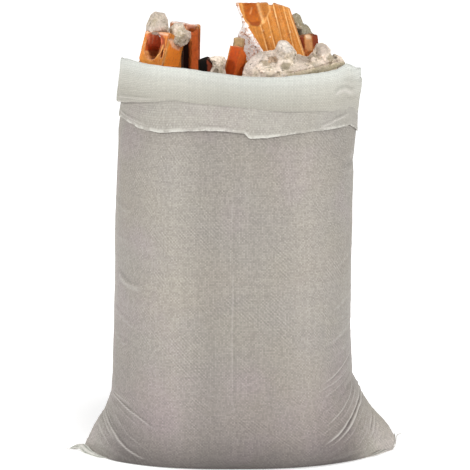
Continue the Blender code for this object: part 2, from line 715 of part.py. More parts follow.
def main():
    clear_scene()
    build_sack()
    build_thread()
    load = build_load()
    rubble = Rubble()
    build_oval_brick(rubble)
    build_standing_brick(rubble)
    build_ribbed_brick(rubble)
    build_middle_chips(rubble)
    build_right_rubble(rubble)
    build_back_rubble(rubble)
    for name, envelope in rubble.placed:
        subtract(load, envelope)
    drop_slivers(load)


main()
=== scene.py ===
"""Rubble sack: how it looks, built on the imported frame.

Metres, +Z up, the front of the sack looks along -Y.
"""

import math

import bmesh
import bpy
import numpy as np
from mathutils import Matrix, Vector
from mathutils.bvhtree import BVHTree


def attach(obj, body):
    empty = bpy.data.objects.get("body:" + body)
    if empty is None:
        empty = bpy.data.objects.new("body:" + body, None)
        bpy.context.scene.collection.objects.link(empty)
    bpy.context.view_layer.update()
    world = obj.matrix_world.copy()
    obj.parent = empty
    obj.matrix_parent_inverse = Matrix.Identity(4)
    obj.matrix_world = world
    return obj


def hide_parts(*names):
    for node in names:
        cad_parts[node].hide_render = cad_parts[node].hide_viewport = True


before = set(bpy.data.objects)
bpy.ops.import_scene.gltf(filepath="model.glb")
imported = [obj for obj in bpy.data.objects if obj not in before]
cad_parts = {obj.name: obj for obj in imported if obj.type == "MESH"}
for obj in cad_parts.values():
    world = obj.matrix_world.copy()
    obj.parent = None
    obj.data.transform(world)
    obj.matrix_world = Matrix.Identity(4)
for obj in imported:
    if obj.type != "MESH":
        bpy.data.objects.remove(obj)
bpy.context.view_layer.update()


# Camera, floor and light

PICTURE = 470.0
SENSOR, LENS = 36.0, 170.8
FOCUS = LENS / SENSOR * PICTURE
DOWN = math.radians(11.0)
AIM = (0.0010, 0.0, 0.339)
DISTANCE = 3.5
FLOOR_REACH = 16.0
FLOOR_CORNERS = 96
WHITE = (1.0, 1.0, 1.0)


def add_object(name, data):
    item = bpy.data.objects.new(name, data)
    bpy.context.scene.collection.objects.link(item)
    return item


def add_camera():
    camera = bpy.data.cameras.new("photo_camera")
    camera.sensor_width = SENSOR
    camera.lens = LENS
    view = add_object("photo_camera", camera)
    view.location = Vector(AIM) + Vector((0.0, -math.cos(DOWN), math.sin(DOWN))) * DISTANCE
    view.rotation_euler = (math.radians(90.0) - DOWN, 0.0, 0.0)
    bpy.context.scene.camera = view


def add_floor():
    """A round white floor that glows a little more the further it is from the sack."""
    turns = [2 * math.pi * number / FLOOR_CORNERS for number in range(FLOOR_CORNERS)]
    rim = [(math.cos(turn) * FLOOR_REACH, math.sin(turn) * FLOOR_REACH, -0.0006) for turn in turns]
    mesh = bpy.data.meshes.new("floor")
    mesh.from_pydata(rim, [], [tuple(range(FLOOR_CORNERS))])
    floor = add_object("floor", mesh)
    n = Nodes("floor")
    reach = n.add("VectorMath", n.place(), operation="LENGTH").outputs["Value"]
    glow = n.spread(reach, 0.25, 1.1, 0.40, 0.82, smooth=False)
    n.link(glow, n.shader.inputs["Emission Strength"])
    n.link(WHITE, n.shader.inputs["Emission Color"])
    mesh.materials.append(n.finish((0.96, 0.96, 0.96), 0.9, specular=0.1))


def add_light(name, place, aim, size, power):
    lamp = bpy.data.lights.new(name, "AREA")
    lamp.shape = "DISK"
    lamp.size = size
    lamp.energy = power
    item = add_object(name, lamp)
    item.location = place
    item.rotation_euler = (Vector(aim) - Vector(place)).to_track_quat("-Z", "Y").to_euler()


def add_lights():
    world = bpy.data.worlds.new("studio")
    bpy.context.scene.world = world
    world.use_nodes = True
    background = world.node_tree.nodes["Background"]
    background.inputs["Color"].default_value = (*WHITE, 1.0)
    background.inputs["Strength"].default_value = 0.34
    add_light("left", (-3.0, -1.4, 2.1), (0.0, 0.0, 0.35), 1.0, 50.0)
    add_light("right", (2.2, -2.5, 2.5), (0.0, 0.0, 0.35), 0.8, 58.0)
    add_light("top", (0.4, -1.0, 3.4), (0.0, 0.0, 0.4), 0.8, 30.0)
    bpy.context.scene.view_settings.view_transform = "Standard"


# Smooth noise on points

def lattice(cells, seed):
    """A repeatable number from 0 to 1 for each whole cell."""
    cells = cells.astype(np.int64)
    value = cells[..., 0] * 73856093 ^ cells[..., 1] * 19349663 ^ cells[..., 2] * 83492791
    value = (value ^ (seed * 2654435761)) & 0xFFFFFFFF
    value = ((value ^ (value >> 15)) * 2246822519) & 0xFFFFFFFF
    value = ((value ^ (value >> 13)) * 3266489917) & 0xFFFFFFFF
    return (value ^ (value >> 16)) / 4294967295.0


def soft_noise(points, size, seed):
    """Smooth noise from -1 to 1 whose bumps are about as wide as size."""
    scaled = np.asarray(points, float) / size
    base = np.floor(scaled)
    part = scaled - base
    part = part * part * part * (part * (part * 6.0 - 15.0) + 10.0)
    total = np.zeros(len(scaled))
    for corner in range(8):
        step = np.array([corner & 1, corner >> 1 & 1, corner >> 2 & 1])
        weight = np.prod(np.where(step == 1, part, 1.0 - part), axis=1)
        total += weight * lattice(base + step, seed)
    return total * 2.0 - 1.0


def rough_noise(points, size, seed, octaves):
    """Smooth noise with smaller and weaker bumps on its bumps."""
    total = np.zeros(len(points))
    for octave in range(octaves):
        total += soft_noise(points, size / 2.0 ** octave, seed + 17 * octave) / 2.0 ** octave
    return total / (2.0 - 2.0 / 2.0 ** octaves)


def pebbles(points, size, seed):
    """Distance to the nearest of scattered points, and that point's own number from 0 to 1."""
    scaled = np.asarray(points, float) / size
    base = np.floor(scaled)
    nearest = np.full(len(scaled), 9.0)
    own = np.zeros(len(scaled))
    for number in range(27):
        step = np.array([number % 3 - 1, number // 3 % 3 - 1, number // 9 - 1])
        cell = base + step
        spot = cell + np.stack([lattice(cell, seed + k) for k in (1, 2, 3)], axis=1)
        away = np.linalg.norm(scaled - spot, axis=1)
        closer = away < nearest
        nearest = np.where(closer, away, nearest)
        own = np.where(closer, lattice(cell, seed + 4), own)
    return nearest, own


def smooth_step(value):
    value = np.clip(value, 0.0, 1.0)
    return value * value * (3.0 - 2.0 * value)


def lookup(table, value, column=1):
    """What a table says between its rows."""
    rows = np.array(table)
    return np.interp(value, rows[:, 0], rows[:, column])


# The sack's outlines, as in the CAD part: height, then left and right, or half the depth; the rim's height
# by its angle in degrees

FRONT_OUTLINE = [
    (0.000, -0.258, 0.254), (0.010, -0.246, 0.256), (0.022, -0.235, 0.256), (0.038, -0.221, 0.246),
    (0.062, -0.206, 0.222), (0.088, -0.195, 0.203), (0.115, -0.193, 0.188), (0.200, -0.190, 0.183),
    (0.315, -0.187, 0.184), (0.400, -0.185, 0.185), (0.505, -0.180, 0.189), (0.545, -0.177, 0.192),
    (0.625, -0.175, 0.194)]
LOAD_OUTLINE = [
    (0.000, -0.166, 0.162), (0.022, -0.178, 0.174), (0.062, -0.184, 0.179), (0.115, -0.191, 0.184),
    (0.200, -0.190, 0.183)]
SIDE_OUTLINE = [
    (0.000, 0.139), (0.010, 0.147), (0.025, 0.155), (0.050, 0.160), (0.100, 0.163), (0.200, 0.163),
    (0.315, 0.160), (0.400, 0.158), (0.505, 0.155), (0.625, 0.153)]
RIM_LINE = [
    (0, 0.6033), (15, 0.5985), (30, 0.596), (60, 0.590), (90, 0.588), (120, 0.588), (140, 0.592),
    (155, 0.600), (170, 0.612), (180, 0.6195), (200, 0.6225), (230, 0.6205), (250, 0.617), (260, 0.6125),
    (270, 0.608), (290, 0.6065), (312, 0.609), (321, 0.612), (330, 0.6175), (337, 0.611), (346, 0.6065),
    (360, 0.6033)]
LOAD_TOP, LOAD_FADE = 0.17, 0.06
ROUNDNESS = 2.2
PINCH_POWER = 2.5
PINCH_TOP = 0.125
EAR_HALF = 0.0035
MOUTH_PINCH = 0.4
MOUTH_PINCH_FROM = 0.43
MOUTH_PINCH_FULL = 0.62
SEAM_BEND = 0.035
SEAM_REACH = 0.260


def signed_power(value, power):
    return np.copysign(np.abs(value) ** power, value)


def seam_line(x):
    return -SEAM_BEND * (x / SEAM_REACH) ** 2


def sack_surface(angle, height, proud):
    """Points on the sack's outside, standing proud of it by a little."""
    angle, height, proud = np.broadcast_arrays(angle, height, proud)
    left = lookup(FRONT_OUTLINE, height) - proud
    right = lookup(FRONT_OUTLINE, height, 2) + proud
    depth = lookup(SIDE_OUTLINE, height) + proud
    load_left, load_right = lookup(LOAD_OUTLINE, height), lookup(LOAD_OUTLINE, height, 2)
    inside = smooth_step((height - LOAD_TOP) / LOAD_FADE)
    middle = 0.5 * (load_left + load_right) * (1.0 - inside) + 0.5 * (left + right) * inside
    across, along = np.cos(angle), np.sin(angle)
    half = np.where(across > 0, right - middle, middle - left)
    ear = smooth_step(1.0 - height / PINCH_TOP)
    mouth = smooth_step((height - MOUTH_PINCH_FROM) / (MOUTH_PINCH_FULL - MOUTH_PINCH_FROM))
    pinch = ear + MOUTH_PINCH * mouth
    round_x = signed_power(across, 2.0 / ROUNDNESS) * half
    round_y = signed_power(along, 2.0 / ROUNDNESS) * depth
    lens_x = across * half
    lens_y = np.copysign(depth * (1.0 - np.abs(across) ** PINCH_POWER) + EAR_HALF, along)
    x = middle + round_x + (lens_x - round_x) * pinch
    y = round_y + (lens_y - round_y) * pinch + seam_line(x) * ear
    return np.stack([x, y, height], axis=-1)


def rim_height(angle):
    return lookup(RIM_LINE, np.degrees(angle) % 360.0)


# The sheet of cloth: columns run up the sack, rows run around it

FRONT_COLUMNS, BACK_COLUMNS = 262, 96
FRONT_GATHER, BACK_GATHER = 0.085, 0.035
GIRTH = 1.10
ANGLE_STEP = 0.005
TABLE_TOP = 0.64
FINE_STEPS = 1201
# Its layers, from the bottom seam to the raw edge
BOTTOM, BODY, BAND, BEHIND, FLAP = range(5)
SEAM_LEFT, SEAM_RIGHT, SEAM_HEIGHT = -0.2545, 0.2515, 0.0010
FLOOR_GAP = 0.0006
BOTTOM_ROWS, LOW_ROWS, MIDDLE_ROWS, HIGH_ROWS = 9, 98, 62, 14
BAND_ROWS, BEHIND_ROWS, FLAP_ROWS = 31, 5, 27
MIDDLE_FROM, HIGH_FROM = 0.17, 0.45
CUFF_HEIGHT, RIM_HEIGHT, RIM_RADIUS = 0.56, 0.61, 0.175


def column_shares():
    """Share of the girth from the left ear, through the front to the right ear, and round the back."""
    shares = []
    for count, gather in ((FRONT_COLUMNS, FRONT_GATHER), (BACK_COLUMNS, BACK_GATHER)):
        even = np.linspace(0.0, 1.0, count, endpoint=False)
        shares.append(even - gather * np.sin(2 * np.pi * even))
    return np.concatenate([shares[0] * 0.5, 0.5 + shares[1] * 0.5])


def angle_table(shares):
    """The angle of each column at a list of heights, so that the cloth isn't stretched sideways."""
    rows = []
    for height in np.arange(0.0, TABLE_TOP, ANGLE_STEP):
        row = np.zeros(len(shares))
        for side, start in ((0, math.pi), (1, 2 * math.pi)):
            fine = np.linspace(start, start + math.pi, FINE_STEPS)
            points = sack_surface(fine, height, 0.0)
            steps = np.linalg.norm(np.diff(points, axis=0), axis=1)
            run = np.concatenate([[0.0], np.cumsum(steps)])
            mine = (shares >= 0.5) == (side == 1)
            row[mine] = np.interp((shares[mine] - 0.5 * side) * 2.0, run / run[-1], fine)
        rows.append(row)
    return np.array(rows)


class Sheet:
    """Rows of points around the sack, from the bottom seam up, over the rim and down to the raw edge."""

    def __init__(self):
        self.shares = column_shares()
        self.table = angle_table(self.shares)
        self.rows = []
        self.layers = []

    def angles_at(self, height):
        """The angle of each column, at one height or at a height for each."""
        heights = np.broadcast_to(height, self.shares.shape)
        spot = np.clip(heights / ANGLE_STEP, 0, len(self.table) - 1.001)
        low = np.floor(spot).astype(int)
        part = spot - low
        column = np.arange(len(self.shares))
        return self.table[low, column] * (1 - part) + self.table[low + 1, column] * part

    def add(self, height, proud, layer):
        self.rows.append(sack_surface(self.angles_at(height), height, proud))
        self.layers.append(layer)


# Heights read off the photograph, along the front: place left to right, height
FOLD_LINE = [
    (-0.184, 0.551), (-0.170, 0.557), (-0.150, 0.562), (-0.126, 0.564), (-0.085, 0.570), (-0.060, 0.568),
    (-0.028, 0.566), (0.009, 0.563), (0.053, 0.557), (0.090, 0.554), (0.128, 0.551), (0.160, 0.549),
    (0.176, 0.545), (0.186, 0.540), (0.192, 0.535)]
RAW_LINE = [
    (-0.175, 0.531), (-0.164, 0.531), (-0.151, 0.526), (-0.134, 0.522), (-0.104, 0.5200), (-0.081, 0.5235),
    (-0.051, 0.5265), (-0.018, 0.5265), (0.009, 0.5240), (0.017, 0.5225), (0.023, 0.516), (0.047, 0.5155),
    (0.083, 0.5195), (0.106, 0.5220), (0.146, 0.5225), (0.175, 0.5230), (0.183, 0.516), (0.190, 0.507)]


def around_ring(sheet):
    """The columns' places on a circle, for noise that closes on itself."""
    turn = sheet.shares * 2 * np.pi
    return np.stack([np.cos(turn), np.sin(turn), 0 * turn], axis=1)


def around_line(sheet, line, seed, back_height, sway):
    """Carry a line read along the front on around the back, with a gentle sway."""
    front = lookup(line, sack_surface(sheet.angles_at(CUFF_HEIGHT), CUFF_HEIGHT, 0.0)[:, 0])
    back = back_height + sway * soft_noise(around_ring(sheet), 0.5, seed)
    behind = smooth_step((np.abs(sheet.shares - 0.75) - 0.17) / 0.08)
    return back + (front - back) * behind


def add_body(sheet, rim):
    """From the seam over the bottom, and up the wall to the cuff."""
    shares = sheet.shares
    along_seam = np.where(shares < 0.5, shares * 2, 2 - shares * 2)
    seam_x = SEAM_LEFT + along_seam * (SEAM_RIGHT - SEAM_LEFT)
    seam = np.stack([seam_x, seam_line(seam_x), np.full(len(shares), SEAM_HEIGHT)], axis=1)
    edge = sack_surface(sheet.angles_at(0.0), 0.0, 0.0)
    edge[:, 2] = FLOOR_GAP
    for part in np.linspace(0.0, 1.0, BOTTOM_ROWS, endpoint=False):
        sheet.rows.append(seam + (edge - seam) * part)
        sheet.layers.append(BOTTOM)
    for low, high, count in ((FLOOR_GAP, MIDDLE_FROM, LOW_ROWS), (MIDDLE_FROM, HIGH_FROM, MIDDLE_ROWS)):
        for height in np.linspace(low, high, count, endpoint=False):
            sheet.add(height, 0.0, BODY)
    for part in np.linspace(0.0, 1.0, HIGH_ROWS, endpoint=False):
        sheet.add(HIGH_FROM + (rim - 0.006 - HIGH_FROM) * part, 0.0, BODY)


def add_cuff(sheet, rim, fold, puff):
    """Over the rim, down to the fold, and up again behind the outer band."""
    shares = sheet.shares
    for lift, proud in ((-0.0045, 0.0003), (-0.0022, 0.0008), (-0.0006, 0.0017), (0.0, 0.0026),
                        (-0.0004, 0.0036), (-0.0018, 0.0043)):
        sheet.add(rim + lift, proud + 0.3 * puff, BAND)
    pressed = np.maximum(smooth_step((0.135 - shares) / 0.06), smooth_step((shares - 0.45) / 0.04))
    for part in np.linspace(0.06, 1.0, BAND_ROWS):
        flare = (0.0016 * pressed - 0.0019 * (1.0 - pressed)) * part ** 3
        flare = 0.0048 + flare + 0.0008 * math.sin(math.pi * part)
        sheet.add(rim - (rim - fold) * part, flare + puff * (0.5 + part * pressed), BAND)
    for lift, share in ((-0.0014, 1.0), (-0.0020, 0.6), (-0.0015, 0.25), (0.0010, 0.0)):
        proud = 0.0026 + share * (0.0003 + 0.0029 * pressed)
        sheet.add(fold + lift * (0.4 + 0.6 * pressed), proud + puff * (0.4 + pressed), BEHIND)
    for part in np.linspace(0.15, 1.0, BEHIND_ROWS):
        sheet.add(fold + (rim - 0.010 - fold) * part, 0.0027 + 0.2 * puff, BEHIND)
    for lift, proud in ((-0.0090, 0.0025), (-0.0096, 0.0021), (-0.0110, 0.0018)):
        sheet.add(rim + lift, proud, BEHIND)


def build_sheet():
    sheet = Sheet()
    ring = around_ring(sheet) * RIM_RADIUS
    rim = rim_height(sheet.angles_at(RIM_HEIGHT))
    rim = rim + 0.0007 * soft_noise(ring, 0.030, 5) + 0.0004 * soft_noise(ring, 0.009, 6)
    fold = around_line(sheet, FOLD_LINE, 31, 0.545, 0.006) + 0.0006 * soft_noise(ring, 0.02, 33)
    raw = around_line(sheet, RAW_LINE, 32, 0.512, 0.008)
    raw = raw + 0.0007 * soft_noise(ring, 0.012, 34) + 0.0005 * soft_noise(ring, 0.004, 35)
    add_body(sheet, rim)
    add_cuff(sheet, rim, fold, 0.0012 * rough_noise(ring, 0.09, 36, 3))
    # down once more, to the raw edge under the cuff
    start = fold + 0.006
    for part in np.linspace(0.2, 1.0, BEHIND_ROWS):
        sheet.add(rim - 0.012 + (start - rim + 0.012) * part, 0.0019, BEHIND)
    wave = 0.0014 * soft_noise(ring, 0.045, 37)
    for part in np.linspace(0.03, 1.0, FLAP_ROWS):
        lift = 0.0020 + (0.0010 + np.maximum(wave, -0.0006)) * part ** 2
        sheet.add(start + (raw - start) * part, lift, FLAP)
    return sheet


# Creases on the front: width, height, and points from left to right or down, in millimetres, by layer
CREASES = {
    BODY: [
        (1.3, 2.4, [(-191, 95), (-181, 91), (-168, 84), (-150, 76), (-128, 64), (-112, 56)]),
        (1.2, 1.1, [(-191, 99), (-178, 97), (-160, 92)]),
        (1.3, 1.0, [(-186, 84), (-172, 74), (-150, 62), (-130, 50)]),
        (1.4, 2.5, [(-204, 66), (-199, 55), (-191, 44), (-180, 32), (-165, 22), (-146, 14), (-128, 9)]),
        (1.2, 1.8, [(-201, 70), (-195, 57), (-187, 46), (-176, 35)]),
        (1.2, -2.0, [(-209, 60), (-205, 49), (-197, 37), (-188, 26)]),
        (1.1, 1.4, [(-214, 46), (-208, 36), (-199, 24), (-186, 14)]),
        (1.1, -1.2, [(-216, 42), (-210, 30), (-202, 21)]),
        (1.1, 0.8, [(-170, 52), (-154, 38), (-134, 26), (-112, 20)]),
        (1.1, 0.8, [(-222, 32), (-214, 22), (-204, 13)]),
        (1.1, 0.9, [(-192, 80), (-186, 66), (-176, 54), (-160, 40), (-140, 30)]),
        (1.3, 2.1, [(183, 165), (176, 156), (166, 146), (153, 136), (140, 130), (128, 127)]),
        (1.2, 1.1, [(183, 148), (174, 136), (157, 127), (135, 119), (113, 115)]),
        (1.2, 1.0, [(182, 134), (170, 122), (150, 112), (128, 104)]),
        (1.2, 1.6, [(186, 121), (183, 106), (176, 92), (165, 80), (149, 68), (135, 60)]),
        (1.2, -1.8, [(188, 108), (184, 95), (174, 79), (158, 66), (142, 56)]),
        (1.1, 1.0, [(186, 99), (177, 83), (160, 67), (140, 54), (120, 46)]),
        (1.4, 2.9, [(197, 101), (192, 86), (184, 72), (173, 59), (161, 48), (146, 39), (130, 32)]),
        (1.3, -2.6, [(199, 97), (194, 81), (185, 67), (174, 54), (163, 45)]),
        (1.2, 2.0, [(201, 93), (196, 77), (186, 61), (174, 49), (162, 40), (144, 30)]),
        (1.1, 0.9, [(206, 84), (201, 68), (190, 52), (175, 38), (155, 26)]),
        (1.1, 1.7, [(219, 66), (216, 52), (209, 38), (201, 28)]),
        (1.1, 1.4, [(224, 58), (221, 45), (215, 33), (206, 24)]),
        (1.1, -1.2, [(221, 60), (218, 47), (211, 34)]),
        (1.1, 1.2, [(229, 50), (225, 37), (217, 24)]),
        (1.1, 1.4, [(224, 30), (219, 24), (214, 20)]),
        (1.1, 0.9, [(212, 52), (205, 38), (193, 26), (178, 18)]),
        (1.1, 0.8, [(178, 118), (164, 100), (146, 88), (124, 80)]),
        (1.1, -0.9, [(213, 74), (208, 60), (198, 45), (182, 32)]),
        (1.1, 0.8, [(236, 42), (230, 30), (220, 20)]),
        (1.1, 0.4, [(-30, 498), (-30, 300), (-31, 40)]),
        (1.2, 0.7, [(-2, 500), (-2, 300), (-2, 116), (1, 65), (7, 11)]),
        (4.5, 1.3, [(-181, 292), (-175, 283), (-165, 277), (-150, 276), (-128, 279)]),
        (3.5, 0.8, [(-186, 400), (-176, 394), (-160, 390), (-145, 389)]),
        (3.5, 0.7, [(-187, 352), (-174, 345), (-158, 342)]),
        (3.5, 0.8, [(-187, 232), (-174, 222), (-154, 214), (-136, 212)]),
        (3.5, 0.7, [(-189, 196), (-174, 184), (-150, 176)]),
        (4.5, 1.0, [(186, 474), (177, 468), (160, 465), (140, 466)]),
        (4.5, -1.0, [(188, 462), (176, 456), (165, 455)]),
        (3.5, 0.8, [(185, 330), (174, 318), (158, 306), (142, 300)]),
        (3.5, 0.8, [(184, 262), (172, 250), (155, 240), (138, 236)]),
        (3.5, 0.8, [(184, 215), (170, 200), (150, 190), (130, 186)]),
        (3.0, 0.6, [(184, 240), (168, 224), (148, 214)]),
        (3.0, 0.6, [(184, 190), (166, 172), (144, 162)]),
    ],
    BAND: [
        (1.5, 1.4, [(-172, 563), (-160, 565), (-150, 566), (-126, 568), (-110, 569)]),
        (3.4, 1.6, [(146, 572), (156, 577), (165, 578), (174, 573), (184, 573)]),
        (3.0, 0.9, [(158, 590), (172, 586), (186, 588)]),
        (2.6, -0.9, [(168, 566), (178, 563), (188, 566)]),
    ],
    FLAP: [
        (2.2, 1.5, [(126, 527), (140, 530), (154, 535), (170, 538), (182, 539)]),
        (1.5, 1.2, [(150, 525), (136, 525), (120, 525)]),
        (1.5, 1.2, [(-60, 530), (-40, 532), (-18, 531), (11, 527)]),
        (1.6, 1.3, [(-176, 540), (-160, 534), (-140, 530), (-120, 528)]),
    ],
}


def place_along(sheet, x, height):
    """How far around the cloth, in metres, a place on the front lies."""
    front = sheet.shares < 0.5
    points = sack_surface(sheet.angles_at(height), height, 0.0)[front]
    return float(np.interp(x, points[:, 0], sheet.shares[front])) * GIRTH


def line_distance(u, z, line):
    """Distance to a line of points, how far along it from 0 to 1, and on which side of it."""
    lengths = [math.dist(a, b) for a, b in zip(line, line[1:])]
    total = sum(lengths)
    best = np.full(u.shape, 9.0)
    along = np.zeros(u.shape)
    side = np.zeros(u.shape)
    done = 0.0
    for (ax, az), (bx, bz), length in zip(line, line[1:], lengths):
        part = np.clip(((u - ax) * (bx - ax) + (z - az) * (bz - az)) / length ** 2, 0.0, 1.0)
        away = np.hypot(u - ax - part * (bx - ax), z - az - part * (bz - az))
        closer = away < best
        best = np.where(closer, away, best)
        along = np.where(closer, (done + part * length) / total, along)
        side = np.where(closer, np.sign((u - ax) * (bz - az) - (z - az) * (bx - ax)), side)
        done += length
    return best, along, side


def crease_field(sheet, u, z, layers):
    """How far creases push the cloth out, and their painted highlight and shade."""
    push = np.zeros(u.shape)
    sharp = np.zeros(u.shape)
    # the creases run on round the sides, and fade and drift on the back
    behind = np.clip(np.minimum(u - 0.5 * GIRTH, GIRTH - u) / (0.25 * GIRTH), 0.0, 1.0)
    u = np.minimum(u, GIRTH - u)
    z = z - 0.014 * behind
    fade = 1.0 - 0.45 * smooth_step(behind / 0.3)
    creases = [(layer, *crease) for layer, some in CREASES.items() for crease in some]
    for layer, width, rise, line in creases:
        line = [(place_along(sheet, x * 0.001, y * 0.001), y * 0.001) for x, y in line]
        length = sum(math.dist(a, b) for a, b in zip(line, line[1:]))
        away, along, side = line_distance(u, z, line)
        ends = smooth_step(along / min(0.16, 0.012 / length))
        ends = ends * smooth_step((1.0 - along) / min(0.45, 0.040 / length))
        here = ends * (layers == layer) * fade
        width *= 0.00085
        ridge = np.exp(-(away / width) ** 2)
        trough = np.exp(-((away * side + 2.0 * width) / (1.2 * width)) ** 2)
        push += 0.001 * rise * here * (ridge - 0.6 * trough) * 0.50
        # a painted highlight along each ridge, partly the whitening of creased cloth, and painted shade in
        # the trough beside it
        sharp += here * (ridge - 0.75 * trough) * rise * 0.62
    return push, sharp


def ear_wrinkles(points, layers):
    """Fine wrinkles that fan out from the two ears, up to the sack's front."""
    x, y, z = (points[:, :, axis] for axis in range(3))
    out = np.abs(x)
    angle = np.arctan2(z + 0.03, out - 0.02)
    reach = np.hypot(z + 0.03, out - 0.02)
    fan = np.stack([angle * 0.55 + np.sign(x) * 3.0, reach * 0.10, 0 * x], axis=-1).reshape(-1, 3)
    fine = 1.0 - np.abs(soft_noise(fan, 0.011, 61)) * 2.2
    wide = 1.0 - np.abs(soft_noise(fan, 0.026, 62)) * 2.0
    wrinkle = (0.6 * fine + 0.8 * wide).reshape(x.shape)
    near = smooth_step((out - 0.105) / 0.06) * smooth_step((0.19 - z) / 0.09) * (layers == BODY)
    return np.clip(wrinkle, -1.0, 1.4) * near * (0.6 + 0.4 * smooth_step(0.5 - y / 0.06))


def grid_normals(points):
    """Outward normals of a grid of points whose columns go round."""
    across = np.roll(points, -1, axis=1) - np.roll(points, 1, axis=1)
    up = np.gradient(points, axis=0)
    normal = np.cross(across, up)
    length = np.linalg.norm(normal, axis=2, keepdims=True)
    return normal / np.maximum(length, 1e-12)


def build_sack():
    sheet = build_sheet()
    points = np.array(sheet.rows)
    layers = np.array(sheet.layers)[:, None] * np.ones(len(sheet.shares))
    rows, columns = layers.shape
    steps = np.linalg.norm(np.diff(points, axis=0), axis=2)
    run = np.concatenate([[0.0], np.cumsum(np.median(steps, axis=1))])
    u = sheet.shares[None, :] * GIRTH * np.ones((rows, 1))
    v = run[:, None] * np.ones((1, columns))
    z = points[:, :, 2]
    push, sharp = crease_field(sheet, u, z, layers)
    wrinkle = ear_wrinkles(points, layers)
    push += 0.00055 * wrinkle
    # painted highlight and shade on the wrinkles as well
    sharp += 0.22 * wrinkle

    def lumps(tall, size, seed, octaves):
        flat = points.reshape(-1, 3) * (1, 1, tall)
        return rough_noise(flat, size, seed, octaves).reshape(rows, columns)

    body = (layers == BODY)
    low = smooth_step((0.16 - z) / 0.10)
    high = smooth_step((z - 0.44) / 0.08)
    push += body * lumps(0.8, 0.090, 51, 3) * 0.0016 * smooth_step(z / 0.05)
    push += body * lumps(1, 0.030, 52, 2) * (0.00045 + 0.0005 * low + 0.0006 * high)
    push *= 1.0 - 0.8 * body * smooth_step((z - 0.505) / 0.02)
    push += (layers == BAND) * lumps(2.2, 0.060, 53, 3) * 0.0013
    push += (layers == FLAP) * lumps(2.0, 0.040, 54, 3) * 0.0009
    # nothing stands out at the floor
    push *= np.where(layers <= BODY, smooth_step((z - 0.002) / 0.012), 1.0)
    points = points + grid_normals(points) * push[:, :, None]
    points[:, :, 0] += side_shift(points, layers)
    points[:, :, 2] = np.maximum(points[:, :, 2], FLOOR_GAP / 2)
    return points, layers, u, v, sharp


# How far the cuff's two ends, and the two ears, lie to the right of the plain outline, by height, in metres
LEFT_BAND = [(0.548, -0.0008), (0.556, -0.0006), (0.575, 0.0012), (0.595, 0.0030), (0.62, 0.0042)]
LEFT_UNDER = [(0.505, 0.0), (0.530, 0.0010), (0.545, 0.0022), (0.556, 0.0034), (0.62, 0.0034)]
RIGHT_BAND = [(0.545, -0.0046), (0.556, -0.0036), (0.575, -0.0018), (0.585, -0.0012), (0.62, -0.0026)]
RIGHT_UNDER = [(0.44, 0.0), (0.459, -0.0022), (0.475, -0.0006), (0.505, 0.0), (0.530, -0.0008),
               (0.545, -0.0030), (0.62, -0.0030)]
LEFT_EAR = [(0.0, 0.015), (0.010, 0.011), (0.022, 0.006), (0.036, 0.0), (0.12, 0.0)]
RIGHT_EAR = [(0.0, -0.003), (0.030, -0.002), (0.046, -0.0025), (0.060, -0.005), (0.076, -0.005),
             (0.092, -0.0015), (0.12, 0.0)]
CUFF_END_FROM = 0.40


def side_shift(points, layers):
    """Sideways moves that bring the sack's outline to the photograph's."""
    x, z = points[:, :, 0], points[:, :, 2]
    under = np.isin(layers, (BODY, FLAP))
    shift = np.zeros(x.shape)
    for side, start, band, below in ((-1, 0.115, LEFT_BAND, LEFT_UNDER), (1, 0.130, RIGHT_BAND, RIGHT_UNDER)):
        near = smooth_step((side * x - start) / 0.055) * (z > CUFF_END_FROM)
        shift += near * np.where(under, lookup(below, z), lookup(band, z))
    for side, ear in ((-1, LEFT_EAR), (1, RIGHT_EAR)):
        shift += smooth_step((side * x - 0.180) / 0.055) * lookup(ear, z) * (layers <= BODY)
    heights = np.stack([0 * z.ravel(), 0 * z.ravel(), z.ravel()], axis=1)
    fray = soft_noise(heights, 0.0045, 77).reshape(z.shape) * 0.0013 * (layers == BAND)
    return shift + fray * smooth_step((x - 0.165) / 0.015) * smooth_step((z - 0.570) / 0.01)


def grid_faces(rows, columns):
    """Quads of a grid whose columns go round."""
    index = np.arange(rows * columns).reshape(rows, columns)
    after = np.roll(index, -1, axis=1)
    return np.stack([index[:-1], after[:-1], after[1:], index[1:]], axis=-1).reshape(-1, 4)


def grid_uv(faces, u, v, girth):
    """Both coordinates of each face's corners, unbroken where the columns close."""
    corner_u, corner_v = u.ravel()[faces], v.ravel()[faces]
    wrapped = corner_u[:, [1, 2]] < corner_u[:, [0, 3]] - 0.5 * girth
    corner_u[:, [1, 2]] += wrapped * girth
    return np.stack([corner_u, corner_v], axis=-1)


def add_mesh(name, points, faces):
    mesh = bpy.data.meshes.new(name)
    mesh.from_pydata([tuple(p) for p in points], [], [tuple(int(i) for i in face) for face in faces])
    mesh.shade_smooth()
    return add_object(name, mesh)


def set_attribute(piece, name, values):
    attribute = piece.data.attributes.new(name, "FLOAT", "POINT")
    attribute.data.foreach_set("value", np.ascontiguousarray(values, np.float32).ravel())


def set_uv(piece, name, corner_uv):
    layer = piece.data.uv_layers.new(name=name)
    layer.data.foreach_set("uv", np.ascontiguousarray(corner_uv, np.float32).ravel())


# Painted shade by height, darkest at the floor as a painted contact shadow, and painted light and shade
# across the front and the cuff from left to right
PAINTED_SHADE_BY_HEIGHT = [(0.0, 0.36), (0.008, 0.47), (0.02, 0.57), (0.035, 0.695), (0.058, 0.85), (0.09, 0.94), (0.12, 0.99),
        (0.25, 1.04), (0.45, 1.0), (0.53, 0.94)]
PAINTED_SHADE_ACROSS = [(-0.19, 0.74), (-0.15, 0.79), (-0.12, 0.85), (-0.09, 0.87), (-0.04, 0.72), (-0.02, 0.74),
          (0.02, 0.76), (0.06, 0.77), (0.11, 0.88), (0.15, 0.78), (0.19, 0.74)]
CUFF_PAINTED_SHADE_ACROSS = [(-0.19, 0.97), (-0.10, 0.95), (-0.03, 0.84), (0.03, 0.83), (0.08, 0.88), (0.14, 0.95),
               (0.19, 0.96)]


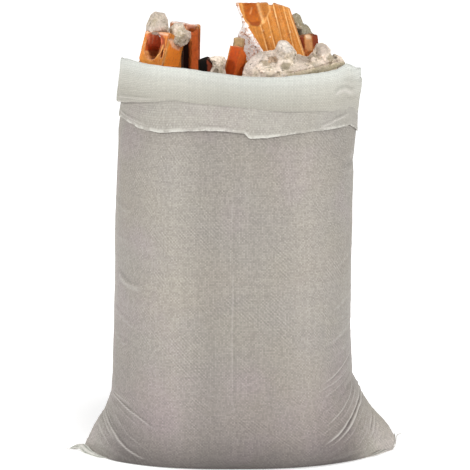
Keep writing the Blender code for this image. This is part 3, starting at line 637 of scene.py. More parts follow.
def cloth_shade(points, layers):
    x, y, z = (points[:, :, axis] for axis in range(3))
    # painted light and shade: the ears lit, the wall darker towards the floor, lighter and darker across the
    # front, and darker under the outer band
    ear = smooth_step((np.abs(x) - 0.165) / 0.070) * smooth_step((0.12 - z) / 0.05)
    low = lookup(PAINTED_SHADE_BY_HEIGHT, z) * (1 - ear) + 1.12 * ear
    front = np.where(layers == BAND, lookup(CUFF_PAINTED_SHADE_ACROSS, x), lookup(PAINTED_SHADE_ACROSS, x))
    front = np.where(layers >= BEHIND, 0.93, front)
    return low * (1.0 + (front - 1.0) * smooth_step((0.05 - y) / 0.13) * (1 - ear))


# The hem's two ends: points along it with half its height and half its depth there, which way it faces,
# how white it is
HEMS = [
    ([(-0.1980, -0.0905, 0.0020, 0.0004, 0.0004), (-0.2120, -0.0800, 0.0024, 0.0014, 0.0012),
      (-0.2245, -0.0665, 0.0034, 0.0024, 0.0018), (-0.2340, -0.0525, 0.0050, 0.0038, 0.0026),
      (-0.2405, -0.0435, 0.0072, 0.0064, 0.0044), (-0.2470, -0.0390, 0.0064, 0.0056, 0.0042),
      (-0.2540, -0.0360, 0.0044, 0.0034, 0.0026), (-0.2600, -0.0350, 0.0024, 0.0006, 0.0005)],
     (-0.6, -0.8, 0.0), 0.80),
    ([(0.2140, -0.0800, 0.0030, 0.0004, 0.0004), (0.2280, -0.0640, 0.0036, 0.0022, 0.0010),
      (0.2400, -0.0490, 0.0044, 0.0026, 0.0012), (0.2490, -0.0385, 0.0070, 0.0028, 0.0013),
      (0.2528, -0.0345, 0.0120, 0.0026, 0.0013), (0.2536, -0.0335, 0.0190, 0.0024, 0.0012),
      (0.2534, -0.0330, 0.0262, 0.0004, 0.0004)],
     (0.6, -0.8, 0.0), 0.30),
]
HEM_STATIONS = 56
HEM_AROUND = 32
HEM_ROUND, HEM_LONG = 0.036, 0.08


def smooth_path(points, count):
    """Evenly placed points of a soft curve through the given ones."""
    points = np.array(points, float)
    run = np.concatenate([[0.0], np.cumsum(np.linalg.norm(np.diff(points, axis=0), axis=1))])
    fine = np.linspace(0.0, run[-1], count)
    path = np.stack([np.interp(fine, run, points[:, axis]) for axis in range(points.shape[1])], axis=1)
    for _ in range(count // 12):
        path[1:-1] = 0.25 * path[:-2] + 0.5 * path[1:-1] + 0.25 * path[2:]
    return path


def tube(path, out, sideways, outward, around):
    """Rings round a path, out and sideways being half its thickness towards outward and across that."""
    along = np.gradient(path, axis=0)
    along /= np.linalg.norm(along, axis=1, keepdims=True)
    across = np.cross(along, outward)
    across /= np.linalg.norm(across, axis=1, keepdims=True)
    facing = np.cross(across, along)
    turn = np.linspace(0.0, 2 * math.pi, around, endpoint=False)
    return (path[:, None, :] + facing[:, None, :] * (out * np.cos(turn))[:, :, None]
            - across[:, None, :] * (sideways * np.sin(turn))[:, :, None])


def hem_end(stations, outward, seed):
    """Rings round one end of the hem, gathered lengthwise, and how far each point is on a fold."""
    stations = np.array(stations)
    path = smooth_path(stations[:, :3], HEM_STATIONS)
    share = np.linspace(0.0, 1.0, HEM_STATIONS)
    turn = np.linspace(0.0, 2 * math.pi, HEM_AROUND, endpoint=False)
    fold = np.cos(4 * turn[None, :] + 4.0 * share[:, None] + np.sin(9.0 * share)[:, None])
    places = np.stack(np.broadcast_arrays(share[:, None] * 6, np.cos(turn), np.sin(turn)), axis=-1)
    rough = rough_noise(places.reshape(-1, 3), 0.9, seed, 3).reshape(fold.shape)
    grow = 1.0 + 0.17 * fold + 0.22 * rough
    given = np.linspace(0.0, 1.0, len(stations))
    sideways, out = (np.interp(share, given, stations[:, column])[:, None] * grow for column in (3, 4))
    rings = tube(path, out, sideways, np.array(outward), HEM_AROUND)
    rings[:, :, 2] = np.maximum(rings[:, :, 2], 0.0004)
    return rings, np.clip(0.8 * fold + 1.2 * rough, -1.0, 1.0)


def cloth_tone(points, layers):
    """How light the cloth is: painted light, from the wall to the cuff's rim where light shines through."""
    z = points[:, :, 2]
    rim = np.where(layers == BAND, z, 0.0).max(axis=0)
    below = rim[None, :] - z
    tone = 1.0 - 0.52 * smooth_step(below / 0.066) - 0.08 * smooth_step(below / 0.02)
    tone = np.select([layers == BAND, layers == BEHIND, layers == FLAP], [tone, 0.35, 0.24])
    return np.maximum(tone, 0.45 * ((layers == BODY) * smooth_step((z - 0.545) / 0.03)))


def add_sack():
    points, layers, u, v, sharp = build_sack()
    # the raw edge's last rows, which get a painted glint
    edge = np.zeros(layers.shape)
    edge[-4:] = np.array([0.15, 0.5, 0.9, 1.0])[:, None]
    faces = grid_faces(*layers.shape)
    weave = grid_uv(faces, u, v, GIRTH)
    bake = weave * (0.98 / GIRTH, 0.91 / v.max()) + 0.01
    tone, shade = cloth_tone(points, layers), cloth_shade(points, layers)
    parts = [(points, faces, weave, bake, tone, sharp, shade, edge)]
    for number, (stations, outward, white) in enumerate(HEMS):
        rings, folds = hem_end(stations, outward, 71 + number)
        faces = grid_faces(HEM_STATIONS, HEM_AROUND)
        grid = np.meshgrid(np.linspace(0, HEM_ROUND, HEM_AROUND), np.linspace(0, HEM_LONG, HEM_STATIONS))
        weave = grid_uv(faces, *grid, HEM_ROUND)
        bake = weave * (1.2, 0.5) + (0.05 + 0.2 * number, 0.94)
        outwards = [corners[:, ::-1] for corners in (faces, weave, bake)]
        same = np.ones(folds.shape)
        # the hem's folds get painted highlight and shade, like the creases
        parts.append((rings, *outwards, same * white, folds * 1.7, same, same * 0.0))
    starts = np.cumsum([0] + [part[4].size for part in parts])
    all_faces = [part[1] + start for part, start in zip(parts, starts)]
    all_points = [part[0].reshape(-1, 3) for part in parts]
    sack = add_mesh("sack", np.concatenate(all_points), np.concatenate(all_faces))
    set_uv(sack, "OFBake", np.concatenate([part[3] for part in parts]))
    set_uv(sack, "weave", np.concatenate([part[2] for part in parts]))
    for number, label in enumerate(("tone", "sharp", "shade", "edge"), 4):
        set_attribute(sack, label, np.concatenate([part[number].ravel() for part in parts]))
    sack.data.materials.append(sack_material())
    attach(sack, "root")
    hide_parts("sack_cloth")
    add_thread()


# The seam's thread: where its loose ends run at the left ear and at the right one
LEFT_TAIL = [(-0.2660, -0.0340, 0.0011), (-0.2625, -0.0368, 0.0014), (-0.2580, -0.0362, 0.0010)]
RIGHT_TAIL = [(0.2545, -0.0318, 0.0030), (0.2562, -0.0322, 0.0120), (0.2558, -0.0328, 0.0225),
              (0.2578, -0.0338, 0.0262), (0.2615, -0.0352, 0.0254), (0.2634, -0.0360, 0.0262)]
STRAND = 0.00045
STRAND_SIDES = 6
STITCH = 0.008
SEAM_HALF = 0.2530
SEAM_POINTS = 60
THREAD_POINTS = 560
THREAD_STEP = 0.00098


def add_thread():
    """A chain stitch of two strands along the seam, with a loose end at each ear."""
    x = np.linspace(-SEAM_HALF, SEAM_HALF, SEAM_POINTS)
    seam = np.stack([x, seam_line(x), np.full(SEAM_POINTS, FLOOR_GAP)], axis=1)
    path = smooth_path(np.concatenate([LEFT_TAIL, seam, RIGHT_TAIL]), THREAD_POINTS)
    run = np.linspace(0.0, THREAD_POINTS * THREAD_STEP, THREAD_POINTS)
    size = np.full((THREAD_POINTS, 1), STRAND)
    faces = grid_faces(THREAD_POINTS, STRAND_SIDES)[:, ::-1]
    points = []
    for turn in (0.0, math.pi):
        sway = 0.0009 * np.sin(2 * math.pi * run / STITCH + turn)
        rise = 0.00025 * np.cos(4 * math.pi * run / STITCH + turn)
        strand = path + np.stack([0 * run, sway, np.maximum(rise, -0.0001)], axis=1)
        points.append(tube(strand, size, size, np.array((0.0, -0.35, 0.94)), STRAND_SIDES).reshape(-1, 3))
    points = np.concatenate(points)
    points[:, 2] = np.maximum(points[:, 2], 0.0001)
    thread = add_mesh("thread", points, np.concatenate([faces, faces + len(points) // 2]))
    n = Nodes("seam_thread")
    twist = n.noise(n.place(), 900.0, 2.0)
    colour = n.mix(n.spread(twist, 0.3, 0.7), (0.50, 0.48, 0.43), (0.72, 0.71, 0.66))
    thread.data.materials.append(n.finish(colour, 0.8, n.bump(twist, 0.0003)))
    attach(thread, "root")
    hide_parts("seam_thread")
    return thread


# Materials

class Nodes:
    """Short names for the shader nodes that the materials are made of."""

    def __init__(self, name):
        self.material = bpy.data.materials.new(name)
        self.material.use_nodes = True
        self.tree = self.material.node_tree
        self.shader = self.tree.nodes["Principled BSDF"]

    def link(self, value, socket):
        if isinstance(value, bpy.types.NodeSocket):
            self.tree.links.new(value, socket)
        elif isinstance(value, tuple):
            alpha = (1.0,) * (len(socket.default_value) - len(value))
            socket.default_value = value + alpha
        else:
            socket.default_value = value

    def add(self, kind, *inputs, **settings):
        """A node with its first inputs linked or set."""
        node = self.tree.nodes.new("ShaderNode" + kind)
        for key, value in settings.items():
            setattr(node, key, value)
        for value, socket in zip(inputs, node.inputs):
            self.link(value, socket)
        return node

    def put(self, node, **inputs):
        for label, value in inputs.items():
            self.link(value, node.inputs[label])
        return node

    def math(self, operation, *values):
        return self.add("Math", *values, operation=operation).outputs[0]

    def times(self, product, *values):
        for value in values:
            product = self.math("MULTIPLY", product, value)
        return product

    def spread(self, value, low, high, to_low=0.0, to_high=1.0, smooth=True):
        """A value between two limits, carried over to between two others."""
        steps = "SMOOTHSTEP" if smooth else "LINEAR"
        return self.add("MapRange", value, low, high, to_low, to_high, interpolation_type=steps).outputs[0]

    def mix(self, share, first, second, blend="MIX"):
        node = self.add("Mix", share, data_type="RGBA", blend_type=blend)
        self.link(first, node.inputs[6])
        self.link(second, node.inputs[7])
        return node.outputs[2]

    def shaded(self, colour, shade):
        """A colour times a shade, which is a number or a colour."""
        if not isinstance(shade, tuple):
            shade = self.add("CombineColor", shade, shade, shade).outputs[0]
        return self.mix(1.0, colour, shade, "MULTIPLY")

    def attribute(self, name):
        return self.add("Attribute", attribute_name=name).outputs["Fac"]

    def painted(self, colour):
        paint = self.add("Attribute", attribute_name="paint").outputs
        return self.mix(paint["Alpha"], colour, paint["Color"])

    def place(self):
        return self.add("TexCoord").outputs["Object"]

    def split(self, vector):
        return self.add("SeparateXYZ", vector).outputs[:]

    def join(self, *values):
        return self.add("CombineXYZ", *values).outputs[0]

    def rise(self):
        """How far the surface faces up, from -1 to 1."""
        return self.split(self.add("NewGeometry").outputs["Normal"])[2]

    def noise(self, vector, scale, detail=3.0, roughness=0.5, output="Fac"):
        node = self.put(self.add("TexNoise", vector), Scale=scale, Detail=detail, Roughness=roughness)
        return node.outputs[output]

    def cells(self, vector, scale):
        return self.put(self.add("TexVoronoi", vector), Scale=scale).outputs["Distance"]

    def chance(self, number):
        """A number from 0 to 1 for each whole number."""
        return self.put(self.add("TexWhiteNoise", noise_dimensions="1D"), W=number).outputs["Value"]

    def ramp(self, value, stops, steps="LINEAR"):
        node = self.add("ValToRGB", value)
        ramp = node.color_ramp
        ramp.interpolation = steps
        while len(ramp.elements) < len(stops):
            ramp.elements.new(0.5)
        for element, (spot, colour) in zip(ramp.elements, stops):
            element.position = spot
            element.color = (*colour, 1.0)
        return node.outputs[0]

    def bump(self, height, distance, strength=1.0):
        return self.put(self.add("Bump"), Height=height, Distance=distance, Strength=strength).outputs[0]

    def finish(self, colour, roughness, normal=None, specular=0.3):
        self.link(colour, self.shader.inputs["Base Color"])
        self.link(roughness, self.shader.inputs["Roughness"])
        self.link(specular, self.shader.inputs["Specular IOR Level"])
        if normal is not None:
            self.link(normal, self.shader.inputs["Normal"])
        return self.material


TAPE = 0.0025
TAPE_SHADES = (0.95, 1.04)


def weave_pattern(n, uv, tone):
    """The shade of each tape and each crossing, and how high the tapes stand."""
    # tapes wander a little, so the pattern isn't ruled with a straight edge
    drift = n.noise(uv, 9.0, 2.0, output="Color")
    wander = n.add("VectorMath", drift, (0.0016, 0.0016, 0.0), uv, operation="MULTIPLY_ADD")
    across, up = (n.math("DIVIDE", run, TAPE) for run in n.split(wander.outputs[0])[:2])
    weave = n.times(*(n.math("SINE", n.times(run, math.pi)) for run in (across, up)))
    over = n.spread(weave, -0.25, 0.25)
    dome = n.math("POWER", n.math("ABSOLUTE", weave), 0.45)
    column, row = (n.math("FLOOR", run) for run in (across, up))
    warp, weft = (n.spread(n.chance(tape), 0.0, 1.0, *TAPE_SHADES, smooth=False) for tape in (column, row))
    shade = n.math("ADD", n.times(warp, over), n.times(weft, 0.93, n.math("SUBTRACT", 1.0, over)))
    # painted shade where the tapes dip between crossings
    shade = n.times(shade, n.spread(dome, 0.0, 0.8, 0.84, 1.02))
    # every crossing catches the light a little differently, and in patches the pattern runs slantwise
    crossing = n.add("TexWhiteNoise", n.join(column, row), noise_dimensions="2D").outputs["Value"]
    uneven = n.spread(tone, 0.05, 0.45, 0.25, 0.08)
    shade = n.times(shade, n.math("MULTIPLY_ADD", n.math("SUBTRACT", crossing, 0.5), uneven, 1.0))
    slant = n.math("SINE", n.times(n.math("ADD", across, up), math.pi * 0.8))
    patches = n.spread(n.noise(uv, 16.0, 3.0, 0.6), 0.50, 0.62, 0.0, 0.085)
    slanted = n.times(patches, n.spread(tone, 0.05, 0.3, 1.0, 0.35))
    return n.times(shade, n.math("ADD", 1.0, n.times(slant, slanted))), dome


def cloth_colour(n, place, tone, patches):
    """Cloth lighter by its tone as painted light, dusty and stained where the tone is low, pinker low down in
    the middle and greener at the ears.
    """
    stains, hue = n.noise(place, 16.0, 5.0, 0.6), n.noise(place, 11.0, 3.0, 0.5)
    lit_by_tone = n.ramp(tone, [(0.0, (0.425, 0.393, 0.352)), (0.24, (0.465, 0.442, 0.395)),
                          (0.48, (0.490, 0.468, 0.405)), (0.75, (0.585, 0.575, 0.510)),
                          (1.0, (0.720, 0.735, 0.680))])
    dirty = n.mix(n.spread(patches, 0.35, 0.75, 0.0, 0.55), lit_by_tone, (0.445, 0.398, 0.335))
    dirty = n.mix(n.spread(stains, 0.52, 0.78, 0.0, 0.30), dirty, (0.365, 0.340, 0.325))
    dirty = n.mix(n.spread(hue, 0.50, 0.72, 0.0, 0.55), dirty, (0.455, 0.395, 0.385))
    dirty = n.mix(n.spread(hue, 0.50, 0.30, 0.0, 0.30), dirty, (0.440, 0.410, 0.345))
    colour = n.mix(n.spread(tone, 0.15, 0.45), dirty, lit_by_tone)
    x, _, z = n.split(place)
    middle = n.spread(n.math("ABSOLUTE", x), 0.165, 0.215, 0.8, 0.0)
    pinkish = n.times(n.spread(z, 0.24, 0.02), middle)
    colour = n.mix(pinkish, colour, n.shaded(colour, (1.0, 0.950, 1.005)))
    greenish = n.times(n.spread(z, 0.12, 0.03), n.math("SUBTRACT", 0.8, middle))
    return n.mix(greenish, colour, n.shaded(colour, (0.985, 1.0, 1.0)))


def sack_material():
    n = Nodes("woven_plastic")
    uv = n.add("UVMap", uv_map="weave").outputs[0]
    place, tone, sharp = n.place(), n.attribute("tone"), n.attribute("sharp")
    tapes, dome = weave_pattern(n, uv, tone)
    patches = n.noise(place, 7.0, 4.0, 0.55)
    # painted light and shade from the shade attribute and in the crease troughs, and a painted highlight on
    # the ridges, partly creased cloth whitening
    shade = n.times(tapes, n.attribute("shade"), n.spread(sharp, -1.3, 0.0, 0.66, 1.0, smooth=False))
    colour = n.shaded(cloth_colour(n, place, tone, patches), shade)
    colour = n.mix(n.spread(sharp, 0.12, 1.4, 0.0, 0.60, smooth=False), colour, (0.70, 0.66, 0.62))
    # a painted glint along the raw edge
    glint = n.spread(n.noise(uv, 60.0, 3.0, 0.7), 0.42, 0.62, 0.10, 0.70)
    colour = n.mix(n.times(n.attribute("edge"), glint), colour, (0.70, 0.69, 0.63))
    height = n.math("ADD", dome, n.times(n.noise(uv, 900.0, 2.0), 0.25))
    roughness = n.spread(patches, 0.3, 0.7, 0.52, 0.68)
    return n.finish(colour, roughness, n.bump(height, 0.00035, 0.9), 0.28)


# Rubble

def turn_matrix(yaw, lean, pitch):
    """From a brick's own axes to the scene's: yaw first, then pitch, then lean to the right."""
    a, b, c = (math.radians(value) for value in (yaw, pitch, lean))
    about_z = np.array([(math.cos(a), -math.sin(a), 0), (math.sin(a), math.cos(a), 0), (0, 0, 1)])
    about_x = np.array([(1, 0, 0), (0, math.cos(b), -math.sin(b)), (0, math.sin(b), math.cos(b))])
    about_y = np.array([(math.cos(c), 0, math.sin(c)), (0, 1, 0), (-math.sin(c), 0, math.cos(c))])
    return about_y @ about_x @ about_z


def read(items, label, width, kind):
    values = np.empty(len(items) * width, kind)
    items.foreach_get(label, values)
    return values


class Surface:
    """A CAD node's surface in small even faces, ready to be roughened."""

    def __init__(self, node, voxel):
        self.node = node
        copy = add_object("work_" + node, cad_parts[node].data.copy())
        even = copy.modifiers.new("even", "REMESH")
        even.mode = "VOXEL"
        even.voxel_size = voxel
        depsgraph = bpy.context.evaluated_depsgraph_get()
        mesh = bpy.data.meshes.new_from_object(copy.evaluated_get(depsgraph))
        self.points = read(mesh.vertices, "co", 3, float).reshape(-1, 3)
        self.faces = read(mesh.loops, "vertex_index", 1, np.int64).reshape(-1, 4)
        self.edges = read(mesh.edges, "vertices", 2, np.int64).reshape(-1, 2)
        bpy.data.objects.remove(copy, do_unlink=True)
        bpy.data.meshes.remove(mesh)
        self.count_edges()

    def count_edges(self):
        self.count = len(self.points)
        self.degree = np.maximum(np.bincount(self.edges.ravel(), minlength=self.count), 1).astype(float)

    def smoothed(self, values, rounds):
        """Each value drawn to its neighbours' mean, some rounds."""
        a, b = self.edges[:, 0], self.edges[:, 1]
        columns = values.reshape(self.count, -1).copy()
        for _ in range(rounds):
            for number in range(columns.shape[1]):
                column = columns[:, number]
                total = np.bincount(a, column[b], self.count) + np.bincount(b, column[a], self.count)
                columns[:, number] = 0.5 * column + 0.5 * total / self.degree
        return columns.reshape(values.shape)

    def normals(self):
        corner = self.points[self.faces]
        flat = np.cross(corner[:, 2] - corner[:, 0], corner[:, 3] - corner[:, 1])
        normal = np.zeros((self.count, 3))
        for number in range(4):
            for axis in range(3):
                normal[:, axis] += np.bincount(self.faces[:, number], flat[:, axis], self.count)
        return normal / np.maximum(np.linalg.norm(normal, axis=1, keepdims=True), 1e-15)

    def keep(self, wanted):
        """Drop the faces that have a point outside the wanted ones."""
        faces = self.faces[wanted[self.faces].all(axis=1)]
        used, self.faces = np.unique(faces, return_inverse=True)
        self.faces = self.faces.reshape(-1, 4)
        number = np.full(self.count, -1)
        number[used] = np.arange(len(used))
        edges = number[self.edges]
        self.edges = edges[(edges >= 0).all(axis=1)]
        self.points = self.points[used]
        self.count_edges()

    def chisel(self, size, seed, strength, reach):
        """Break the surface into flat facets, and give each facet's own number."""
        _, own = pebbles(self.points, size, seed)
        _, cell = np.unique(own, return_inverse=True)
        count = np.bincount(cell)
        normal = self.normals()
        middle, tilt = (np.stack([np.bincount(cell, values[:, axis]) / count for axis in range(3)], axis=1)
                        for values in (self.points, normal))
        tilt /= np.maximum(np.linalg.norm(tilt, axis=1, keepdims=True), 1e-9)
        away = np.sum((middle[cell] - self.points) * tilt[cell], axis=1)
        share = strength * np.clip(np.sum(normal * tilt[cell], axis=1) * 2.0 - 0.6, 0.0, 1.0)
        self.points = self.points + tilt[cell] * (share * np.clip(away, -reach, reach))[:, None]
        return own

    def bulge(self, rounds):
        """How far each point stands out of its surroundings, in metres."""
        return np.sum((self.points - self.smoothed(self.points, rounds)) * self.normals(), axis=1)

    def shift(self, right, down, depth):
        """Move points by pixels in the picture's plane, that far from the camera."""
        pixel = depth / FOCUS
        self.points[:, 0] += right * pixel
        self.points[:, 1] -= down * pixel * math.sin(DOWN)
        self.points[:, 2] -= down * pixel * math.cos(DOWN)

    def finish(self, material, slot, attributes, paint):
        piece = add_mesh("rubble_" + self.node, self.points, self.faces)
        for label, values in attributes.items():
            set_attribute(piece, label, values)
        layer = piece.data.attributes.new("paint", "FLOAT_COLOR", "POINT")
        layer.data.foreach_set("color", np.ascontiguousarray(paint.colour, np.float32).ravel())
        piece.data.materials.append(material)
        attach(piece, "root")
        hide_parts(self.node)


def seen(points):
    """Where points appear in the camera's picture, in pixels from its upper left corner."""
    x, y, z = (points - np.array(AIM)).T
    rise = z * math.cos(DOWN) + y * math.sin(DOWN)
    depth = DISTANCE + y * math.cos(DOWN) - z * math.sin(DOWN)
    return PICTURE / 2 + x * (FOCUS / depth), PICTURE / 2 - rise * (FOCUS / depth)


def polygon_depth(u, v, corners):
    """Distance inside a polygon, negative outside."""
    ring = list(corners) + [corners[0]]
    away, _, _ = line_distance(u, v, ring)
    inside = np.zeros(u.shape, bool)
    for (ax, ay), (bx, by) in zip(ring, ring[1:]):
        crossing = (ay > v) != (by > v)
        slope = (bx - ax) / (by - ay) if by != ay else 0.0
        inside ^= crossing & (u < ax + (v - ay) * slope)
    return np.where(inside, away, -away)


# Outlines as the picture shows them, in pixels: those of some lumps, with the row below which they are left
# alone; the slab's upper one, left to right, with the row that stays; the big brick's left one, by rows
OUTLINES = {
    "mortar_on_left_brick": (34, [
        (150.6, 14.5), (154.8, 11.3), (164.7, 13), (168.2, 20), (168.5, 26), (169.5, 33), (159, 36),
        (146, 34), (146, 25)]),
    "mortar_between_bricks": (60, [
        (169, 28), (174.7, 23), (183, 23), (186, 29.5), (191, 32), (191.3, 38), (186.5, 44.8), (181, 47.3),
        (176, 45.5), (170, 37.5)]),
    "mortar_chunk_front": (74, [
        (209, 57.5), (214.5, 56), (224.4, 56.4), (226.4, 60), (224.8, 71), (221, 84), (217, 76), (213, 65)]),
    "mortar_rear_upper": (28, [
        (292, 16), (296, 12.6), (300, 14.5), (303, 22), (303, 34), (288, 34), (288, 20)]),
    "mortar_rear_lower": (38, [
        (296, 28), (300, 22.3), (308, 24.5), (315.5, 30), (317, 37), (316, 70), (296, 70), (292, 40)]),
}
TOP_LINE = [(242.7, 73), (244.3, 64.7), (251, 57), (259, 52), (270, 50), (275.5, 48.5), (277.5, 41.2),
            (280, 39.6), (284, 39.8), (289, 41.8), (292, 45.5), (296, 50), (299, 54), (305, 56), (309.5, 56),
            (312, 50), (315.6, 43.8), (322, 42.3), (327, 44.6), (331, 50.5), (335, 54), (340.5, 56),
            (344.7, 60), (346, 63)]
TOP_STILL = 77.0
LEFT_LINE = [(2.0, 235.0), (4.1, 235.4), (8.2, 237.3), (13.6, 239.5), (19.5, 241.3), (24.5, 242.5),
             (28.1, 241.3), (32.7, 238.6), (36.3, 237.3), (42.0, 238.5)]
LEFT_REACH = 14.0
NEAR_PIXEL = 0.9
RAYS = 120
LUMP_DEPTH, BRICK_DEPTH = 3.45, 3.42


def ray_length(ring, middle, ray):
    """How far a ray from the middle runs to the outline."""
    away = np.array([math.cos(ray), math.sin(ray)])
    longest = 0.0
    for first, second in zip(ring, np.roll(ring, -1, axis=0)):
        side, start = second - first, first - middle
        cross = away[0] * side[1] - away[1] * side[0]
        if abs(cross) < 1e-9:
            continue
        along = (start[0] * side[1] - start[1] * side[0]) / cross
        share = (start[0] * away[1] - start[1] * away[0]) / cross
        if along > 0 and 0 <= share <= 1:
            longest = max(longest, along)
    return longest


def fit_outline(surface):
    """Stretch a lump a little, in the picture's plane, to the outline that the picture shows."""
    if surface.node not in OUTLINES:
        return
    still, corners = OUTLINES[surface.node]
    ring = np.array(corners)
    middle = ring[ring[:, 1] <= still + 1.0].mean(axis=0)
    u, v = seen(surface.points)
    turn = np.arctan2(v - middle[1], u - middle[0])
    reach = np.hypot(u - middle[0], v - middle[1])
    rays = np.linspace(-math.pi, math.pi, RAYS + 1)[:-1] + math.pi / RAYS
    ratio = np.ones(RAYS)
    for number, ray in enumerate(rays):
        near = np.abs(np.angle(np.exp(1j * (turn - ray)))) < math.pi / 90
        now = reach[near].max() if near.any() else 1.0
        wanted = ray_length(ring, middle, ray)
        ratio[number] = np.clip(wanted / now, 0.60, 1.25) if wanted else 1.0
    mine = np.interp(turn, rays, ratio, period=2 * math.pi)
    mine = 1.0 + (mine - 1.0) * smooth_step((still + 3.0 - v) / 6.0)
    surface.shift((u - middle[0]) * (mine - 1.0), (v - middle[1]) * (mine - 1.0), LUMP_DEPTH)


def blurred(row):
    return np.convolve(np.pad(row, 2, mode="edge"), [0.1, 0.2, 0.4, 0.2, 0.1], mode="valid")


def fit_top(surface):
    """Stretch the slab up and down, in the picture's plane, to its upper outline."""
    u, v = seen(surface.points)
    columns = np.arange(243.0, 347.0)
    wanted = lookup(TOP_LINE, columns)
    top = wanted.copy()
    for number, column in enumerate(columns):
        near = np.abs(u - column) < NEAR_PIXEL
        if near.any():
            top[number] = min(v[near].min(), TOP_STILL - 3.0)
    ratio = blurred(np.clip((TOP_STILL - wanted) / (TOP_STILL - top), 0.70, 1.35))
    down = (v - TOP_STILL) * (np.interp(u, columns, ratio) - 1.0) * (v < TOP_STILL)
    surface.shift(0.0, down, BRICK_DEPTH)


def fit_left(surface):
    """Shift the big brick's left edge sideways, in the picture's plane, to its outline."""
    u, v = seen(surface.points)
    rows = np.arange(1.0, 50.0)
    edge = np.array([u[np.abs(v - row) < NEAR_PIXEL].min(initial=400.0) for row in rows])
    edge = np.where(edge > 300.0, 238.0, edge)
    move = np.clip(lookup(LEFT_LINE, rows) - edge, -3.0, 6.0) * smooth_step((44.0 - rows) / 6.0)
    weight = np.clip((np.interp(v, rows, edge) + LEFT_REACH - u) / LEFT_REACH, 0.0, 1.0) ** 2
    surface.shift(np.interp(v, rows, blurred(move)) * weight, 0.0, BRICK_DEPTH)


class Paint:
    """Colour laid over a piece's own, point by point."""

    def __init__(self, surface):
        self.surface = surface
        self.colour = np.zeros((surface.count, 4))
        self.u, self.v = seen(surface.points)
        normal = surface.smoothed(surface.normals(), 1)
        self.facing = smooth_step((-normal[:, 1] * 0.98 + normal[:, 2] * 0.19 + 0.05) / 0.15)

    def line(self, corners, width):
        away, along, _ = line_distance(self.u, self.v, corners)
        ends = smooth_step(along / 0.06) * smooth_step((1 - along) / 0.06)
        return np.exp(-(away / width) ** 2) * self.facing * ends

    def patch(self, corners, soft, ragged=0.0):
        """Nearly 1 inside a polygon in the picture, with a soft and ragged edge."""
        depth = polygon_depth(self.u, self.v, corners) + ragged
        return smooth_step(depth / soft + 0.5) * self.facing

    def draw(self, features):
        for kind, width, deep, colour, strength, corners in features:
            thin = kind == "line"
            if thin:
                mask = self.line(corners, width)
            else:
                ragged = 0.8 * rough_noise(self.surface.points, 0.004, 901, 2) * min(width, 1.0)
                mask = self.patch(corners, width, ragged)
            if deep:
                self.surface.points += self.surface.normals() * (mask * deep * 0.001)[:, None]
            share = (mask * strength)[:, None]
            self.colour[:, 3:] = 1.0 - (1.0 - self.colour[:, 3:]) * (1.0 - share)
            # a line keeps its own colour to its edge, a patch darkens towards it
            amount = share / np.maximum(self.colour[:, 3:], 1e-6) if thin else share
            self.colour[:, :3] = self.colour[:, :3] * (1 - share) + np.array(colour) * amount


# The bricks: size, place, then yaw, lean and pitch in degrees, as in the CAD part; voxel size, how dark
BRICKS = {
    "brick_with_oval_hole": ((0.043, 0.050, 0.086), (-0.1125, -0.0605, 0.6268), (-30, 14, 0), 0.0010, 0.3),
    "brick_standing": ((0.046, 0.046, 0.104), (-0.0760, -0.014, 0.625), (0, 1, 0), 0.0012, 0.45),
    "brick_ribbed": ((0.086, 0.055, 0.155), (0.052, -0.027, 0.656), (3, -19, -12), 0.0014, 0.0),
    # the wedge lies in shadow, and its darkness paints it nearly black
    "brick_wedge": ((0.0335, 0.024, 0.0646), (-0.041, -0.116, 0.600), (8, 0, 0), 0.0009, 1.0),
    "brick_plate": ((0.020, 0.022, 0.066), (0.0003, -0.108, 0.6145), (-38, 13, 0), 0.0009, 0.55),
    "brick_splinter": ((0.015, 0.014, 0.078), (0.003, -0.080, 0.619), (-15, 7, 0), 0.0010, 0.5),
    "brick_behind_ribs": ((0.034, 0.030, 0.078), (0.1125, -0.014, 0.616), (12, -6, 0), 0.0012, 0.25),
    "brick_rear_left": ((0.054, 0.046, 0.084), (-0.094, 0.056, 0.602), (35, -8, 10), 0.0017, 0.35),
    "brick_half_rear_left": ((0.044, 0.028, 0.036), (-0.094, 0.098, 0.570), (38, 8, -6), 0.0014, 0.5),
    "brick_rear_middle": ((0.066, 0.056, 0.088), (0.058, 0.072, 0.610), (-20, 12, -6), 0.0018, 0.2),
    "brick_rear_right": ((0.040, 0.034, 0.046), (0.146, 0.036, 0.581), (25, 6, -10), 0.0014, 0.4),
    "brick_shard_rear": ((0.044, 0.013, 0.044), (-0.050, 0.118, 0.570), (15, 20, -20), 0.0012, 0.5),
    "brick_shard_middle": ((0.040, 0.014, 0.048), (-0.012, 0.020, 0.584), (-25, -16, 14), 0.0012, 0.3),
}
